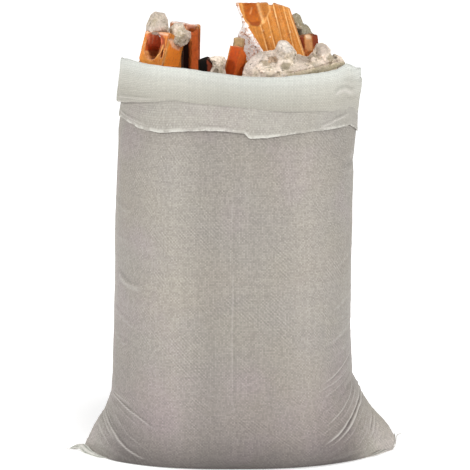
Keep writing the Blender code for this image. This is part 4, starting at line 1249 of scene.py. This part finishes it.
# Drawn as the picture shows them: line or patch, its width or softness in pixels, how far it stands out in
# millimetres, its colour and how strongly that covers, and its corners in pixels
# Many features are painted light: highlights along edges, ridges and rims, and shade or shadow in holes, gaps
# and hollows
GOLD_HIGHLIGHT, ORANGE, PINK = (0.86, 0.44, 0.13), (0.62, 0.19, 0.03), (0.84, 0.55, 0.40)
SHADOW_BLACK, SHADE = (0.012, 0.008, 0.007), (0.22, 0.15, 0.10)
FEATURES = {
    "brick_with_oval_hole": [
        # painted light on the brick's lit right face
        ("patch", 1.5, 0, (1.08, 0.32, 0.035), 0.97, [(169.5, 40), (180, 45), (183, 67), (163, 67)]),
        ("patch", 2.0, 0, (1.0, 0.66, 0.46), 0.75, [(168, 39), (175, 41), (181, 46), (179, 51), (172, 47)]),
        # painted shade deep in the hole, at its bottom and down its right side
        ("patch", 3.0, 0, (0.22, 0.065, 0.035), 0.55,
         [(148, 50), (153, 48), (160, 50), (158, 56), (152, 58)]),
        ("patch", 0.9, -0.3, (0.36, 0.055, 0.018), 0.9,
         [(157, 32), (161.5, 33.5), (164.8, 39), (165, 46), (162, 53), (157.5, 57), (159.5, 50),
          (160.5, 41)]),
        ("patch", 2.5, 0, (1.0, 0.24, 0.11), 0.85,
         [(146, 36), (150, 33), (158, 34), (162, 40), (160, 47), (149, 47)]),
        ("line", 0.7, 0, (0.90, 0.50, 0.34), 0.7, [(153, 34), (153, 39), (152, 44)]),
        ("line", 0.6, 0, (0.90, 0.50, 0.34), 0.6, [(157.5, 34.5), (157, 40)]),
        ("line", 0.6, 0, (0.85, 0.42, 0.25), 0.6, [(149.5, 36), (149, 41)]),
        ("line", 1.2, -0.6, PINK, 0.75, [(144, 33), (150, 31.5), (158, 33), (169, 35)]),
        # painted highlights on the hole's rim and on the edge of the right face
        ("line", 0.8, 0.2, GOLD_HIGHLIGHT, 0.75, [(146, 50), (150, 56.5), (156, 57.5), (161, 52), (163.5, 44)]),
        ("line", 0.7, 0.1, GOLD_HIGHLIGHT, 0.7, [(169.5, 40), (167, 50), (163.7, 64)]),
        ("line", 1.0, -0.5, PINK, 0.7, [(170, 39), (175, 41), (181, 46)]),
    ],
    "brick_standing": [
        # painted shade on the wall, a painted shadow in the gap beside it, then painted shade down its right
        # corner and a painted highlight on its left edge
        ("patch", 1.0, 0, (0.70, 0.125, 0.022), 0.87, [(190, 29), (199.5, 29), (200, 69), (190, 69)]),
        ("patch", 0.8, 0, SHADOW_BLACK, 0.96, [(181, 38), (189, 38), (189, 69), (181, 69)]),
        ("line", 1.6, -0.4, (1.0, 0.84, 0.76), 0.9, [(169, 21), (184, 22.5), (198, 25)]),
        ("line", 0.8, 0, (0.16, 0.05, 0.03), 0.6, [(198.3, 25), (198.8, 45), (199, 68)]),
        ("line", 1.0, 0, (0.95, 0.36, 0.08), 0.75, [(190.3, 36), (190.3, 68)]),
        ("patch", 1.0, 0, ORANGE, 0.7, [(186, 24.5), (196, 25), (194, 32), (188, 32)]),
    ],
    "brick_wedge": [
        # painted shadow: black on the wedge's left part, dark brown on its right face
        ("patch", 1.0, 0, (0.006, 0.006, 0.005), 0.97, [(198, 60), (207.5, 56), (207.5, 72), (198, 72)]),
        ("patch", 0.8, 0, (0.24, 0.050, 0.022), 0.9, [(207, 60), (214, 66), (214, 72), (207, 72)]),
    ],
    "brick_plate": [
        ("patch", 1.0, 0, (0.57, 0.064, 0.0015), 0.9, [(230, 44), (241, 45), (235, 75), (222, 74)]),
        ("patch", 0.8, 0, (0.62, 0.105, 0.010), 0.9, [(241, 46), (250, 58), (243, 75), (234, 75)]),
        # a painted highlight along the left edge
        ("line", 0.9, 0.2, GOLD_HIGHLIGHT, 0.75, [(230.5, 45), (227, 60), (223.5, 74)]),
        ("line", 0.8, -0.2, (0.80, 0.40, 0.16), 0.6, [(230, 45), (241, 46.5)]),
    ],
    "brick_splinter": [
        ("patch", 1.2, -0.3, (0.52, 0.38, 0.20), 0.9, [(231, 35), (245, 35), (245, 46.5), (231, 46.5)]),
    ],
    "brick_ribbed": [
        ("patch", 1.0, -0.4, (0.62, 0.155, 0.006), 0.9,
         [(242, 1), (257, 1), (262, 17), (260, 25), (254, 26), (249, 23.5), (245, 18.5), (243.8, 10)]),
        ("patch", 2.5, 0, (0.50, 0.100, 0.003), 0.6,
         [(245, 1), (255.5, 1), (258, 14), (250, 16), (246, 12)]),
        ("patch", 1.6, 0, (0.30, 0.050, 0.003), 0.7,
         [(245, 18), (252, 22), (260, 21), (259.5, 25.5), (255, 26.5), (249, 24)]),
        ("patch", 1.0, -0.3, (0.82, 0.285, 0.040), 0.6,
         [(258.5, 1), (268, 1), (269.5, 12), (264.5, 21), (262.5, 14)]),
        # painted highlights on the scoop's rim, a streak in it, the left edge and the first rib
        ("line", 0.8, 0.2, (0.95, 0.50, 0.17), 0.75, [(268.6, 1), (269.8, 11), (264.5, 22), (259, 27)]),
        ("line", 0.8, 0.2, (0.98, 0.46, 0.16), 0.6, [(251.8, 7), (251.0, 11), (249.8, 14.5)]),
        ("line", 0.9, 0.2, GOLD_HIGHLIGHT, 0.75, [(240.8, 2), (243.6, 13), (244.8, 19), (250, 25)]),
        ("line", 1.4, 0.4, (0.98, 0.58, 0.25), 0.75, [(256.8, 0.5), (259.8, 12), (263.6, 24)]),
    ],
    "brick_behind_ribs": [
        ("patch", 1.0, 0, (0.40, 0.11, 0.025), 0.6, [(296, 30), (320, 30), (320, 60), (296, 60)]),
        ("patch", 1.4, 0.6, (0.80, 0.40, 0.16), 0.85, [(304, 35), (311, 35), (313, 50), (305, 53)]),
        ("patch", 1.4, 0.3, (0.88, 0.66, 0.44), 0.8, [(305, 35), (310, 35), (311, 39), (306, 39.5)]),
        # painted shade in the two dark recesses
        ("patch", 1.2, -0.8, (0.24, 0.035, 0.015), 0.9, [(299, 35), (303, 36), (305, 48), (301, 48)]),
        ("patch", 1.2, -0.4, (0.62, 0.20, 0.05), 0.8, [(303, 49), (308, 50), (309, 57), (304, 57)]),
        ("patch", 1.2, -0.5, (0.24, 0.035, 0.012), 0.9, [(312.5, 34), (319, 34), (319, 45), (313, 47)]),
    ],
    "mortar_slab": [
        # painted highlights on the slab's upper left and on its top
        ("patch", 4.0, 0, (0.80, 0.69, 0.63), 0.55,
         [(243, 66), (250, 57), (262, 52), (263, 59), (254, 68), (247, 74)]),
        ("patch", 3.0, 0, (1.12, 1.04, 0.97), 0.6, [(277, 46), (278, 40), (288, 42), (294, 50), (286, 54)]),
        ("patch", 2.5, 0, (0.76, 0.65, 0.56), 0.5, [(290, 55), (298, 55), (309, 57), (306, 62), (294, 63)]),
        ("patch", 3.0, 0, (0.45, 0.37, 0.32), 0.55,
         [(314, 46), (318, 43), (326, 45), (329, 52), (318, 56)]),
        ("patch", 4.0, 0, (0.80, 0.66, 0.58), 0.30, [(264, 49), (283, 48), (288, 58), (262, 58)]),
        # painted shade in the deep holes
        ("patch", 1.6, -0.9, (0.38, 0.28, 0.16), 0.60,
         [(261, 61), (266, 59.5), (272, 62), (270, 65.5), (263, 66)]),
        ("patch", 1.6, -0.6, (0.56, 0.33, 0.18), 0.60,
         [(268, 57), (275, 56), (279, 59), (276, 63), (269, 62)]),
        # painted shade in a hollow
        ("patch", 1.6, -1.0, (0.30, 0.25, 0.13), 0.65,
         [(280, 65), (284.5, 62), (290, 64), (289, 69), (284, 70)]),
        # a painted highlight on the hollow's raised rim
        ("line", 0.9, 0.5, (0.80, 0.70, 0.60), 0.6, [(278, 64), (283, 60.5), (291, 62)]),
        ("line", 0.9, -1.3, SHADE, 0.6, [(287, 73), (300, 70.5), (320, 65.6), (342, 59.5)]),
        ("patch", 1.4, 0.5, (0.46, 0.40, 0.25), 0.7,
         [(288, 74), (320, 66.5), (343, 61), (347, 64), (322, 73.5), (289, 78)]),
        ("line", 1.0, -0.5, (0.50, 0.38, 0.28), 0.35, [(252, 70), (266, 70), (280, 74)]),
        ("line", 1.0, -0.9, SHADE, 0.4, [(296, 55), (303, 60), (312, 62)]),
        # painted shade in a hollow
        ("patch", 1.5, -0.6, (0.42, 0.35, 0.22), 0.55,
         [(329, 54), (333, 53), (337, 57), (333, 61), (327, 60)]),
    ],
}


# On the big brick: its broken cell and the plaster up its left edge, in pixels; planes of old plaster, each
# by three points and its top; thin raised lines on its front, with their places and how much they lean
SCOOP = [(237, -2), (269, -2), (270, 6), (269, 13), (265, 22), (258, 27), (250, 26), (244, 22)]
PLASTER_STRIP = [(232, 2.5), (238.8, 2.7), (240.0, 8), (241.8, 14), (243.4, 19.5), (246.8, 22.5),
                 (250.2, 25.5), (246, 30), (232, 30)]
CRUST_PLANES = [
    (((0.0057, -0.048, 0.6842), (0.0375, -0.060, 0.6383), (0.0135, -0.041, 0.6330)), 0.700),
    (((-0.0012, -0.045, 0.7082), (0.0064, -0.055, 0.6575), (0.0000, 0.005, 0.7082)), 0.705),
]
RIBS = [(-0.0095, 0.06), (0.0032, 0.08), (0.0163, 0.08), (0.0305, 0.08), (0.0402, 0.0)]
RIB_WIDTH, RIB_HEIGHT = 0.0011, 0.0009


def add_brick(node, seed):
    size, centre, turns, voxel, dark = BRICKS[node]
    turn = turn_matrix(*turns)
    surface = Surface(node, voxel)
    normal = surface.normals()
    points = surface.points
    own = (points - np.array(centre)) @ turn
    facing = np.abs(surface.smoothed(normal, 2) @ turn)
    wall = smooth_step((np.maximum(facing[:, 0], facing[:, 1]) - 0.88) / 0.08)
    broken = 1.0 - wall
    from_side = np.min(np.array(size[:2]) / 2 - np.abs(own[:, :2]), axis=1)
    edge = surface.bulge(8) / voxel
    chip = smooth_step((edge * 2.2 + 0.9 * rough_noise(points, 0.006, seed + 2, 2) - 0.62) / 0.22)
    chip *= smooth_step((edge - 0.08) / 0.15)
    coarse, fine = rough_noise(points, 0.011, seed, 3), rough_noise(points, 0.0032, seed + 1, 3)
    streaks = soft_noise(own * (1.0, 1.0, 0.05), 0.0013, seed + 3)
    push = broken * (0.0012 * coarse + 0.0005 * fine - 0.0003)
    push += wall * (0.00030 * rough_noise(points, 0.030, seed + 4, 2) + 0.00010 * streaks)
    push -= 0.0011 * chip + np.maximum(edge, 0.0) * 0.0004
    surface.points = points + normal * np.minimum(push, 0.0009)[:, None]
    attributes = {"broken": np.clip(broken * 0.9 + chip, 0, 1),
                  "inside": wall * smooth_step((from_side - 0.0022) / 0.0015),
                  "edge": np.clip(edge, -1, 1), "across": own[:, 0] + 0.7 * own[:, 1], "along": own[:, 2]}
    if node == "brick_with_oval_hole":
        surface.points += turn[:, 2] * (0.0032 * smooth_step((own[:, 2] - 0.012) / 0.026))[:, None]
    ribbed = node == "brick_ribbed"
    if ribbed:
        attributes["crust"] = crust_on_ribs(surface, normal)
        fit_left(surface)
    paint = Paint(surface)
    paint.draw(FEATURES.get(node, ()))
    if ribbed:
        raise_ribs(surface, paint, own, facing, normal, attributes)
    surface.finish(brick_material(node, dark, ribbed), "brick", attributes, paint)


def crust_on_ribs(surface, normal):
    """Old white plaster on the big brick's broken front left side, thick and nodular."""
    points = surface.points
    crust = np.zeros(surface.count)
    ragged = rough_noise(points, 0.010, 121, 3)
    for corners, top in CRUST_PLANES:
        first, second, third = np.array(corners)
        outward = np.cross(second - first, third - first)
        outward /= np.linalg.norm(outward)
        outward *= -np.sign(outward[1] + outward[0])
        away = np.abs((points - first) @ outward)
        facing = smooth_step((surface.smoothed(normal, 3) @ outward - 0.45) / 0.3)
        reach = smooth_step((top + 0.010 * ragged - points[:, 2]) / 0.004)
        crust = np.maximum(crust, facing * reach * smooth_step((0.0045 - away) / 0.002))
    nearest, own = pebbles(points, 0.0042, 122)
    thick = 0.0013 * np.clip(0.75 - nearest, 0, 1) + 0.0006 * rough_noise(points, 0.003, 123, 2)
    surface.points = points + normal * (crust * (0.0004 + thick))[:, None]
    return crust * (0.6 + 0.4 * own)


def raise_ribs(surface, paint, own, facing, normal, attributes):
    """The big brick's rib lines, outside its broken cell, and the strip of plaster on its edge."""
    attributes["crust"] = np.maximum(attributes["crust"], 0.47 * paint.patch(PLASTER_STRIP, 1.2))
    front = smooth_step((-own[:, 1] - 0.0225) / 0.002) * smooth_step((facing[:, 1] - 0.5) / 0.3)
    front *= 1.0 - smooth_step(polygon_depth(paint.u, paint.v, SCOOP) / 1.5 + 0.5)
    places, slopes = np.array(RIBS).T
    from_ribs = own[:, :1] - (places + (own[:, 2:] + 0.017) * slopes)
    nearest = np.take_along_axis(from_ribs, np.abs(from_ribs).argmin(axis=1)[:, None], axis=1)[:, 0]
    surface.points += normal * (front * np.exp(-(nearest / RIB_WIDTH) ** 2) * RIB_HEIGHT)[:, None]
    attributes["from_rib"], attributes["front"] = nearest, front
    attributes["broken"] *= 1.0 - 0.8 * smooth_step((-own[:, 1] - 0.0215) / 0.002)


# Lumps of mortar: voxel size, how greenish, how knobbly, how light
MORTARS = {
    "mortar_on_left_brick": (0.0008, 0.0, 1.0, 0.86),
    "mortar_between_bricks": (0.0008, 0.15, 1.0, 1.08),
    "mortar_chunk_front": (0.0008, 0.25, 0.9, 1.2),
    "mortar_slab": (0.0011, 0.1, 1.0, 1.15),
    "mortar_rear_lower": (0.0012, 0.8, 0.8, 0.82),
    "mortar_rear_upper": (0.0009, 1.0, 0.8, 0.9),
    "mortar_rear_left": (0.0013, 0.1, 1.0, 1.0),
    "mortar_rear_middle": (0.0014, 0.2, 1.0, 1.0),
    "mortar_rear_right": (0.0013, 0.0, 1.0, 1.0),
    "mortar_right_edge": (0.0012, 0.3, 1.0, 1.0),
    "mortar_middle": (0.0013, 0.2, 1.0, 1.0),
    "mortar_left_edge": (0.0012, 0.1, 1.0, 1.0),
}
MORTAR_GROWTH = 0.0034


def add_mortar(node, seed):
    voxel, green, knobbly, light = MORTARS[node]
    slab = node == "mortar_slab"
    surface = Surface(node, voxel)
    start = surface.points = surface.smoothed(surface.points, 10 if slab else 4)
    knobs, _ = pebbles(start, 0.012, seed + 6)
    push = knobbly * (0.0020 * rough_noise(start, 0.019, seed, 2) + 0.0030 * (0.5 - knobs))
    surface.points = start + surface.normals() * push[:, None]
    facet = surface.chisel(0.0150, seed + 20, 0.85, 0.0028)
    surface.chisel(0.0068, seed + 21, 0.80, 0.0014)
    points = surface.points = surface.smoothed(surface.points, 1)
    sand, grain = pebbles(points, 0.0021, seed + 3)
    pit = smooth_step((rough_noise(points, 0.0065, seed + 4, 2) - 0.50) / 0.12)
    push = knobbly * 0.0007 * rough_noise(points, 0.0040, seed + 1, 3)
    push = push + 0.0003 * np.clip(0.55 - sand, -0.2, 1.0) - 0.0009 * pit
    grown = points + surface.normals() * push[:, None] - start
    length = np.linalg.norm(grown, axis=1, keepdims=True)
    surface.points = start + grown * np.minimum(1.0, MORTAR_GROWTH / np.maximum(length, 1e-9))
    fit_outline(surface)
    if slab:
        fit_top(surface)
    attributes = {"edge": np.clip(surface.bulge(5) / voxel, -1, 1),
                  "hollow": np.clip(surface.bulge(40) / 0.0015, -1, 1),
                  "pit": np.clip(pit, 0, 1), "grain": grain, "facet": facet}
    paint = Paint(surface)
    paint.draw(FEATURES.get(node, ()))
    surface.finish(mortar_material(node, green, light), "mortar", attributes, paint)


BROWN, CLAY_SHEEN = (0.40, 0.09, 0.012), (0.90, 0.52, 0.22)
PAINTED_SHADOW_FROM = 0.9


def brick_material(node, dark, ribbed):
    n = Nodes("clay_" + node)
    place = n.place()
    large, small = n.noise(place, 34.0, 4.0, 0.6), n.noise(place, 210.0, 4.0, 0.6)
    broken, edge = n.attribute("broken"), n.attribute("edge")
    drawn = n.join(n.times(n.attribute("across"), 620.0), n.times(n.attribute("along"), 42.0), 0.5)
    streaks = n.noise(drawn, 1.0, 3.0, 0.6)
    light, deep, cell_shade = (0.740, 0.285, 0.045), (0.540, 0.120, 0.010), (0.560, 0.075, 0.018)
    pale = n.mix(n.spread(small, 0.35, 0.7), (0.56, 0.24, 0.095), (0.74, 0.47, 0.31))
    dusty, specular = (0.60, 0.42, 0.28), 0.32
    # a brick this dark lies in shadow, so it is painted nearly black: a painted shadow
    if dark > PAINTED_SHADOW_FROM:
        light, deep, cell_shade = (0.060, 0.018, 0.013), (0.028, 0.011, 0.009), (0.028, 0.011, 0.009)
        pale = n.mix(small, (0.11, 0.045, 0.032), (0.16, 0.075, 0.05))
        dusty, specular = (0.20, 0.15, 0.12), 0.06
    colour = n.mix(n.spread(large, 0.30, 0.72, max(0.0, dark - 0.30), min(1.0, dark + 0.40)), light, deep)
    # painted shade on the walls inside the brick's cells
    colour = n.mix(n.times(n.attribute("inside"), 0.85), colour, cell_shade)
    colour = n.mix(n.times(broken, n.spread(large, 0.35, 0.65, 0.15, 0.75)), colour, pale)
    # paler along bulging edges, partly worn clay and partly a painted highlight
    colour = n.mix(n.spread(edge, 0.14, 0.50, 0.0, 0.62), colour, pale)
    # light streaks on the unbroken faces as a painted sheen, then brown streaks
    shiny = n.times(n.spread(streaks, 0.56, 0.72), n.math("SUBTRACT", 1.0, broken), 0.35)
    colour = n.mix(shiny, colour, CLAY_SHEEN)
    colour = n.mix(n.spread(streaks, 0.44, 0.30, 0.0, 0.35), colour, BROWN)
    dust = n.times(n.spread(n.rise(), 0.35, 0.9), n.spread(large, 0.35, 0.65, 0.10, 0.55))
    # dust on upward faces, and painted shade in the hollows
    colour = n.shaded(n.mix(dust, colour, dusty), n.spread(edge, -0.6, -0.1, 0.45, 1.0))
    share = 0.86 if ribbed else 1.0
    grain = n.times(n.spread(small, 0.25, 0.75, 0.80 * share, 1.14 * share),
                    n.spread(n.cells(place, 520.0), 0.05, 0.35, 0.86, 1.0))
    colour = n.shaded(n.painted(colour), grain)
    if ribbed:
        colour = ribs_and_plaster(n, place, large, colour)
    height = n.math("ADD", n.noise(place, 420.0, 4.0, 0.6), n.times(n.noise(place, 1500.0, 2.0), 0.4))
    roughness = n.spread(small, 0.3, 0.7, 0.58, 0.84)
    return n.finish(colour, roughness, n.bump(height, 0.0007, 0.8), specular)


def ribs_and_plaster(n, place, large, colour):
    """Rib lines with a painted highlight and a painted shadow on their right, scuffs, and flecked plaster."""
    from_rib, front = n.attribute("from_rib"), n.attribute("front")
    beside = n.math("ABSOLUTE", n.math("SUBTRACT", from_rib, 0.0023))
    shadow = n.times(n.spread(beside, 0.0003, 0.0013, 0.45, 0.0), front)
    colour = n.mix(shadow, colour, (0.36, 0.105, 0.014))
    rib_highlight = n.times(n.spread(n.math("ABSOLUTE", from_rib), 0.0003, 0.0014, 0.66, 0.0), front)
    rib_highlight = n.times(rib_highlight, n.spread(large, 0.38, 0.56, 0.45, 1.0))
    colour = n.mix(rib_highlight, colour, (0.95, 0.60, 0.26))
    scuffs = n.times(n.spread(n.noise(place, 150.0, 5.0, 0.7), 0.62, 0.70, 0.0, 0.7), front)
    colour = n.mix(scuffs, colour, (0.90, 0.72, 0.48))
    plaster = n.ramp(n.noise(place, 240.0, 3.0, 0.7), [
        (0.33, (0.20, 0.11, 0.08)), (0.40, (0.70, 0.40, 0.28)), (0.47, (0.96, 0.82, 0.74)),
        (0.55, (1.0, 0.99, 0.98))])
    return n.mix(n.spread(n.attribute("crust"), 0.30, 0.55), colour, plaster)


def mortar_material(node, green, light):
    n = Nodes("mortar_" + node)
    place = n.place()
    large, small = n.noise(place, 55.0, 4.0, 0.6), n.noise(place, 330.0, 4.0, 0.7)
    grain, edge = n.attribute("grain"), n.attribute("edge")
    body = n.ramp(large, [(0.28, (0.40, 0.33, 0.22)), (0.42, (0.56, 0.47, 0.36)), (0.58, (0.66, 0.55, 0.46)),
                          (0.74, (0.66, 0.47, 0.38))])
    colour = n.mix(green * 0.85, body, (0.27, 0.235, 0.135))
    # painted shade in the hollows
    colour = n.mix(n.spread(n.attribute("hollow"), -0.75, 0.10, 0.75, 0.0), colour, (0.24, 0.20, 0.115))
    colour = n.mix(n.spread(grain, 0.76, 0.86, 0.0, 0.50), colour, (0.80, 0.74, 0.67))
    colour = n.mix(n.spread(grain, 0.08, 0.04, 0.0, 0.22), colour, (0.26, 0.20, 0.13))
    colour = n.mix(n.spread(small, 0.28, 0.40, 0.22, 0.0), colour, (0.32, 0.25, 0.17))
    dust = n.times(n.spread(n.rise(), -0.1, 0.8), n.spread(large, 0.3, 0.7, 0.25, 0.65))
    colour = n.mix(dust, colour, (0.74, 0.63, 0.53) if green < 0.5 else (0.46, 0.41, 0.30))
    # painted shade in hollows and pits, a painted highlight on bulges, and a shade that differs facet by
    # facet
    shade = n.times(n.spread(edge, -0.50, 0.05, 0.52, 1.0), n.spread(edge, 0.02, 0.5, 0.97, 1.22),
                    n.spread(n.attribute("pit"), 0.1, 0.9, 1.0, 0.80),
                    n.spread(n.attribute("facet"), 0.0, 1.0, 0.87, 1.12, smooth=False),
                    n.spread(small, 0.30, 0.70, 0.84 * light, 1.12 * light))
    height = n.math("ADD", small, n.times(n.noise(place, 1000.0, 3.0, 0.7), 0.5))
    return n.finish(n.shaded(n.painted(colour), shade), 0.92, n.bump(height, 0.0010, 0.9), 0.2)


# The load under the big pieces: a bed of small stuff, and loose bits lying on it and on the rear pieces,
# which come after the first ones of both tables
BED_FROM = 0.535
CRUMBS = 460
CRUMB_SHAPES = 20
FRONT_BRICKS, FRONT_MORTARS = 7, 6
LOAD_VOXEL = 0.0023
STONE, BIT = (0.0125, 301), (0.0060, 302)
SKY, HIGHEST_BIT = 0.8, 0.612
DOWNWARDS = Vector((0, 0, -1))


def crumb_shape(draw, seed):
    """A broken bit about 1 across, as points and triangles."""
    shape = bmesh.new()
    for spot in draw.normal(size=(draw.integers(8, 13), 3)):
        shape.verts.new(spot / np.linalg.norm(spot) * draw.uniform(0.40, 0.56))
    hull = bmesh.ops.convex_hull(shape, input=shape.verts)
    bmesh.ops.delete(shape, geom=list({item for item in hull["geom_interior"]}), context="VERTS")
    bmesh.ops.subdivide_edges(shape, edges=shape.edges, cuts=2, use_grid_fill=True)
    bmesh.ops.triangulate(shape, faces=shape.faces)
    shape.verts.index_update()
    points = np.array([tuple(v.co) for v in shape.verts])
    faces = np.array([[v.index for v in face.verts] for face in shape.faces])
    shape.free()
    points *= 1.0 + 0.10 * rough_noise(points, 0.45, seed, 2)[:, None]
    return points, faces


def node_tree(nodes):
    """The shapes of some CAD nodes together, for finding what lies under a point."""
    points, faces = [], []
    for node in nodes:
        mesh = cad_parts[node].data
        first = len(points)
        points.extend(vertex.co[:] for vertex in mesh.vertices)
        faces.extend([first + index for index in face.vertices] for face in mesh.polygons)
    return BVHTree.FromPolygons(points, faces)


def add_crumbs(surface):
    """Points and triangles of the loose bits, and each one's own number."""
    draw = np.random.default_rng(311)
    shapes = [crumb_shape(draw, 320 + number) for number in range(CRUMB_SHAPES)]
    bed = BVHTree.FromPolygons(surface.points.tolist(), surface.faces.tolist())
    rear = node_tree([*BRICKS][FRONT_BRICKS:] + [*MORTARS][FRONT_MORTARS:])
    front = node_tree([*BRICKS][:FRONT_BRICKS] + [*MORTARS][:FRONT_MORTARS])
    spots = np.flatnonzero(surface.normals()[:, 2] > 0.75)
    placed = np.zeros((0, 3))
    crumbs = []
    for _ in range(CRUMBS * 3):
        if len(crumbs) >= CRUMBS:
            break
        x, y = surface.points[spots[draw.integers(len(spots))], :2] + draw.normal(size=2) * 0.006
        size = 0.0045 + 0.0135 * draw.random() ** 2.6
        points, triangles = shapes[draw.integers(CRUMB_SHAPES)]
        turn = turn_matrix(*draw.uniform(0, 360, 3))
        stretch = draw.uniform(0.65, 1.25, 3)
        above = Vector((x, y, SKY))
        if front.ray_cast(above, DOWNWARDS)[0] is not None:
            continue
        hits = [tree.ray_cast(above, DOWNWARDS)[:2] for tree in (bed, rear)]
        hits = [hit for hit in hits if hit[0] is not None]
        if not hits:
            continue
        place, slope = max(hits, key=lambda hit: hit[0].z)
        crowded = np.hypot(placed[:, 0] - x, placed[:, 1] - y) < 0.42 * (placed[:, 2] + size)
        if slope.z < 0.6 or place.z > HIGHEST_BIT or np.any(crowded):
            continue
        placed = np.vstack([placed, (x, y, size)])
        shape = (points * stretch) @ turn.T * size
        shape[:, 2] += place.z - shape[:, 2].min() - 0.22 * size
        shape[:, :2] += (x, y)
        crumbs.append((shape, triangles, draw.random()))
    return crumbs


def add_load():
    surface = Surface("load_core", LOAD_VOXEL)
    surface.keep(surface.points[:, 2] > BED_FROM)
    points = surface.points
    normal = surface.normals()
    top = smooth_step((surface.smoothed(normal, 3)[:, 2] - 0.35) / 0.3)
    stones, kind = pebbles(points, *STONE)
    bits, bit_kind = pebbles(points, *BIT)
    rise = 0.0055 * (0.55 - stones) + 0.0026 * (0.5 - bits) + 0.0012 * rough_noise(points, 0.02, 303, 2)
    surface.points = points + normal * (top * rise)[:, None]
    surface.chisel(*STONE, 0.6, 0.0020)
    surface.chisel(*BIT, 0.6, 0.0012)
    surface.points = surface.smoothed(surface.points, 1)
    all_points, faces = [surface.points], surface.faces.tolist()
    kinds = [np.where(bits < 0.42, bit_kind, kind)]
    edges = [np.clip(surface.bulge(6) / LOAD_VOXEL, -1, 1)]
    first = surface.count
    for shape, triangles, own in add_crumbs(surface):
        all_points.append(shape)
        faces.extend((triangles + first).tolist())
        first += len(shape)
        kinds.append(np.full(len(shape), own))
        edges.append(np.full(len(shape), 0.1))
    load = add_mesh("rubble_load", np.concatenate(all_points), faces)
    set_attribute(load, "kind", np.concatenate(kinds))
    set_attribute(load, "edge", np.concatenate(edges))
    load.data.materials.append(load_material())
    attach(load, "root")
    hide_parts("load_core")


def load_material():
    n = Nodes("small_rubble")
    place = n.place()
    large, small = n.noise(place, 40.0, 4.0, 0.6), n.noise(place, 300.0, 4.0, 0.65)
    colour = n.ramp(n.attribute("kind"), [
        (0.0, (0.52, 0.19, 0.045)), (0.20, (0.26, 0.065, 0.022)), (0.30, (0.50, 0.42, 0.33)),
        (0.56, (0.34, 0.30, 0.21)), (0.70, (0.62, 0.55, 0.47)), (0.82, (0.66, 0.30, 0.10)),
        (0.93, (0.10, 0.05, 0.035))], "CONSTANT")
    dust = n.times(n.spread(n.rise(), -0.1, 0.8), n.spread(large, 0.3, 0.7, 0.25, 0.75))
    # painted shade in the crevices and a painted highlight on the bulges
    shade = n.times(n.spread(n.attribute("edge"), -0.6, 0.3, 0.30, 1.12),
                    n.spread(small, 0.28, 0.72, 0.74, 1.16))
    colour = n.shaded(n.mix(dust, colour, (0.46, 0.37, 0.29)), shade)
    return n.finish(colour, 0.92, n.bump(small, 0.0012, 1.0), 0.2)


def add_rubble():
    add_load()
    for seed, node in enumerate(BRICKS, 101):
        add_brick(node, seed)
    for seed, node in enumerate(MORTARS, 201):
        add_mortar(node, seed)


add_camera()
add_floor()
add_lights()
add_sack()
add_rubble()
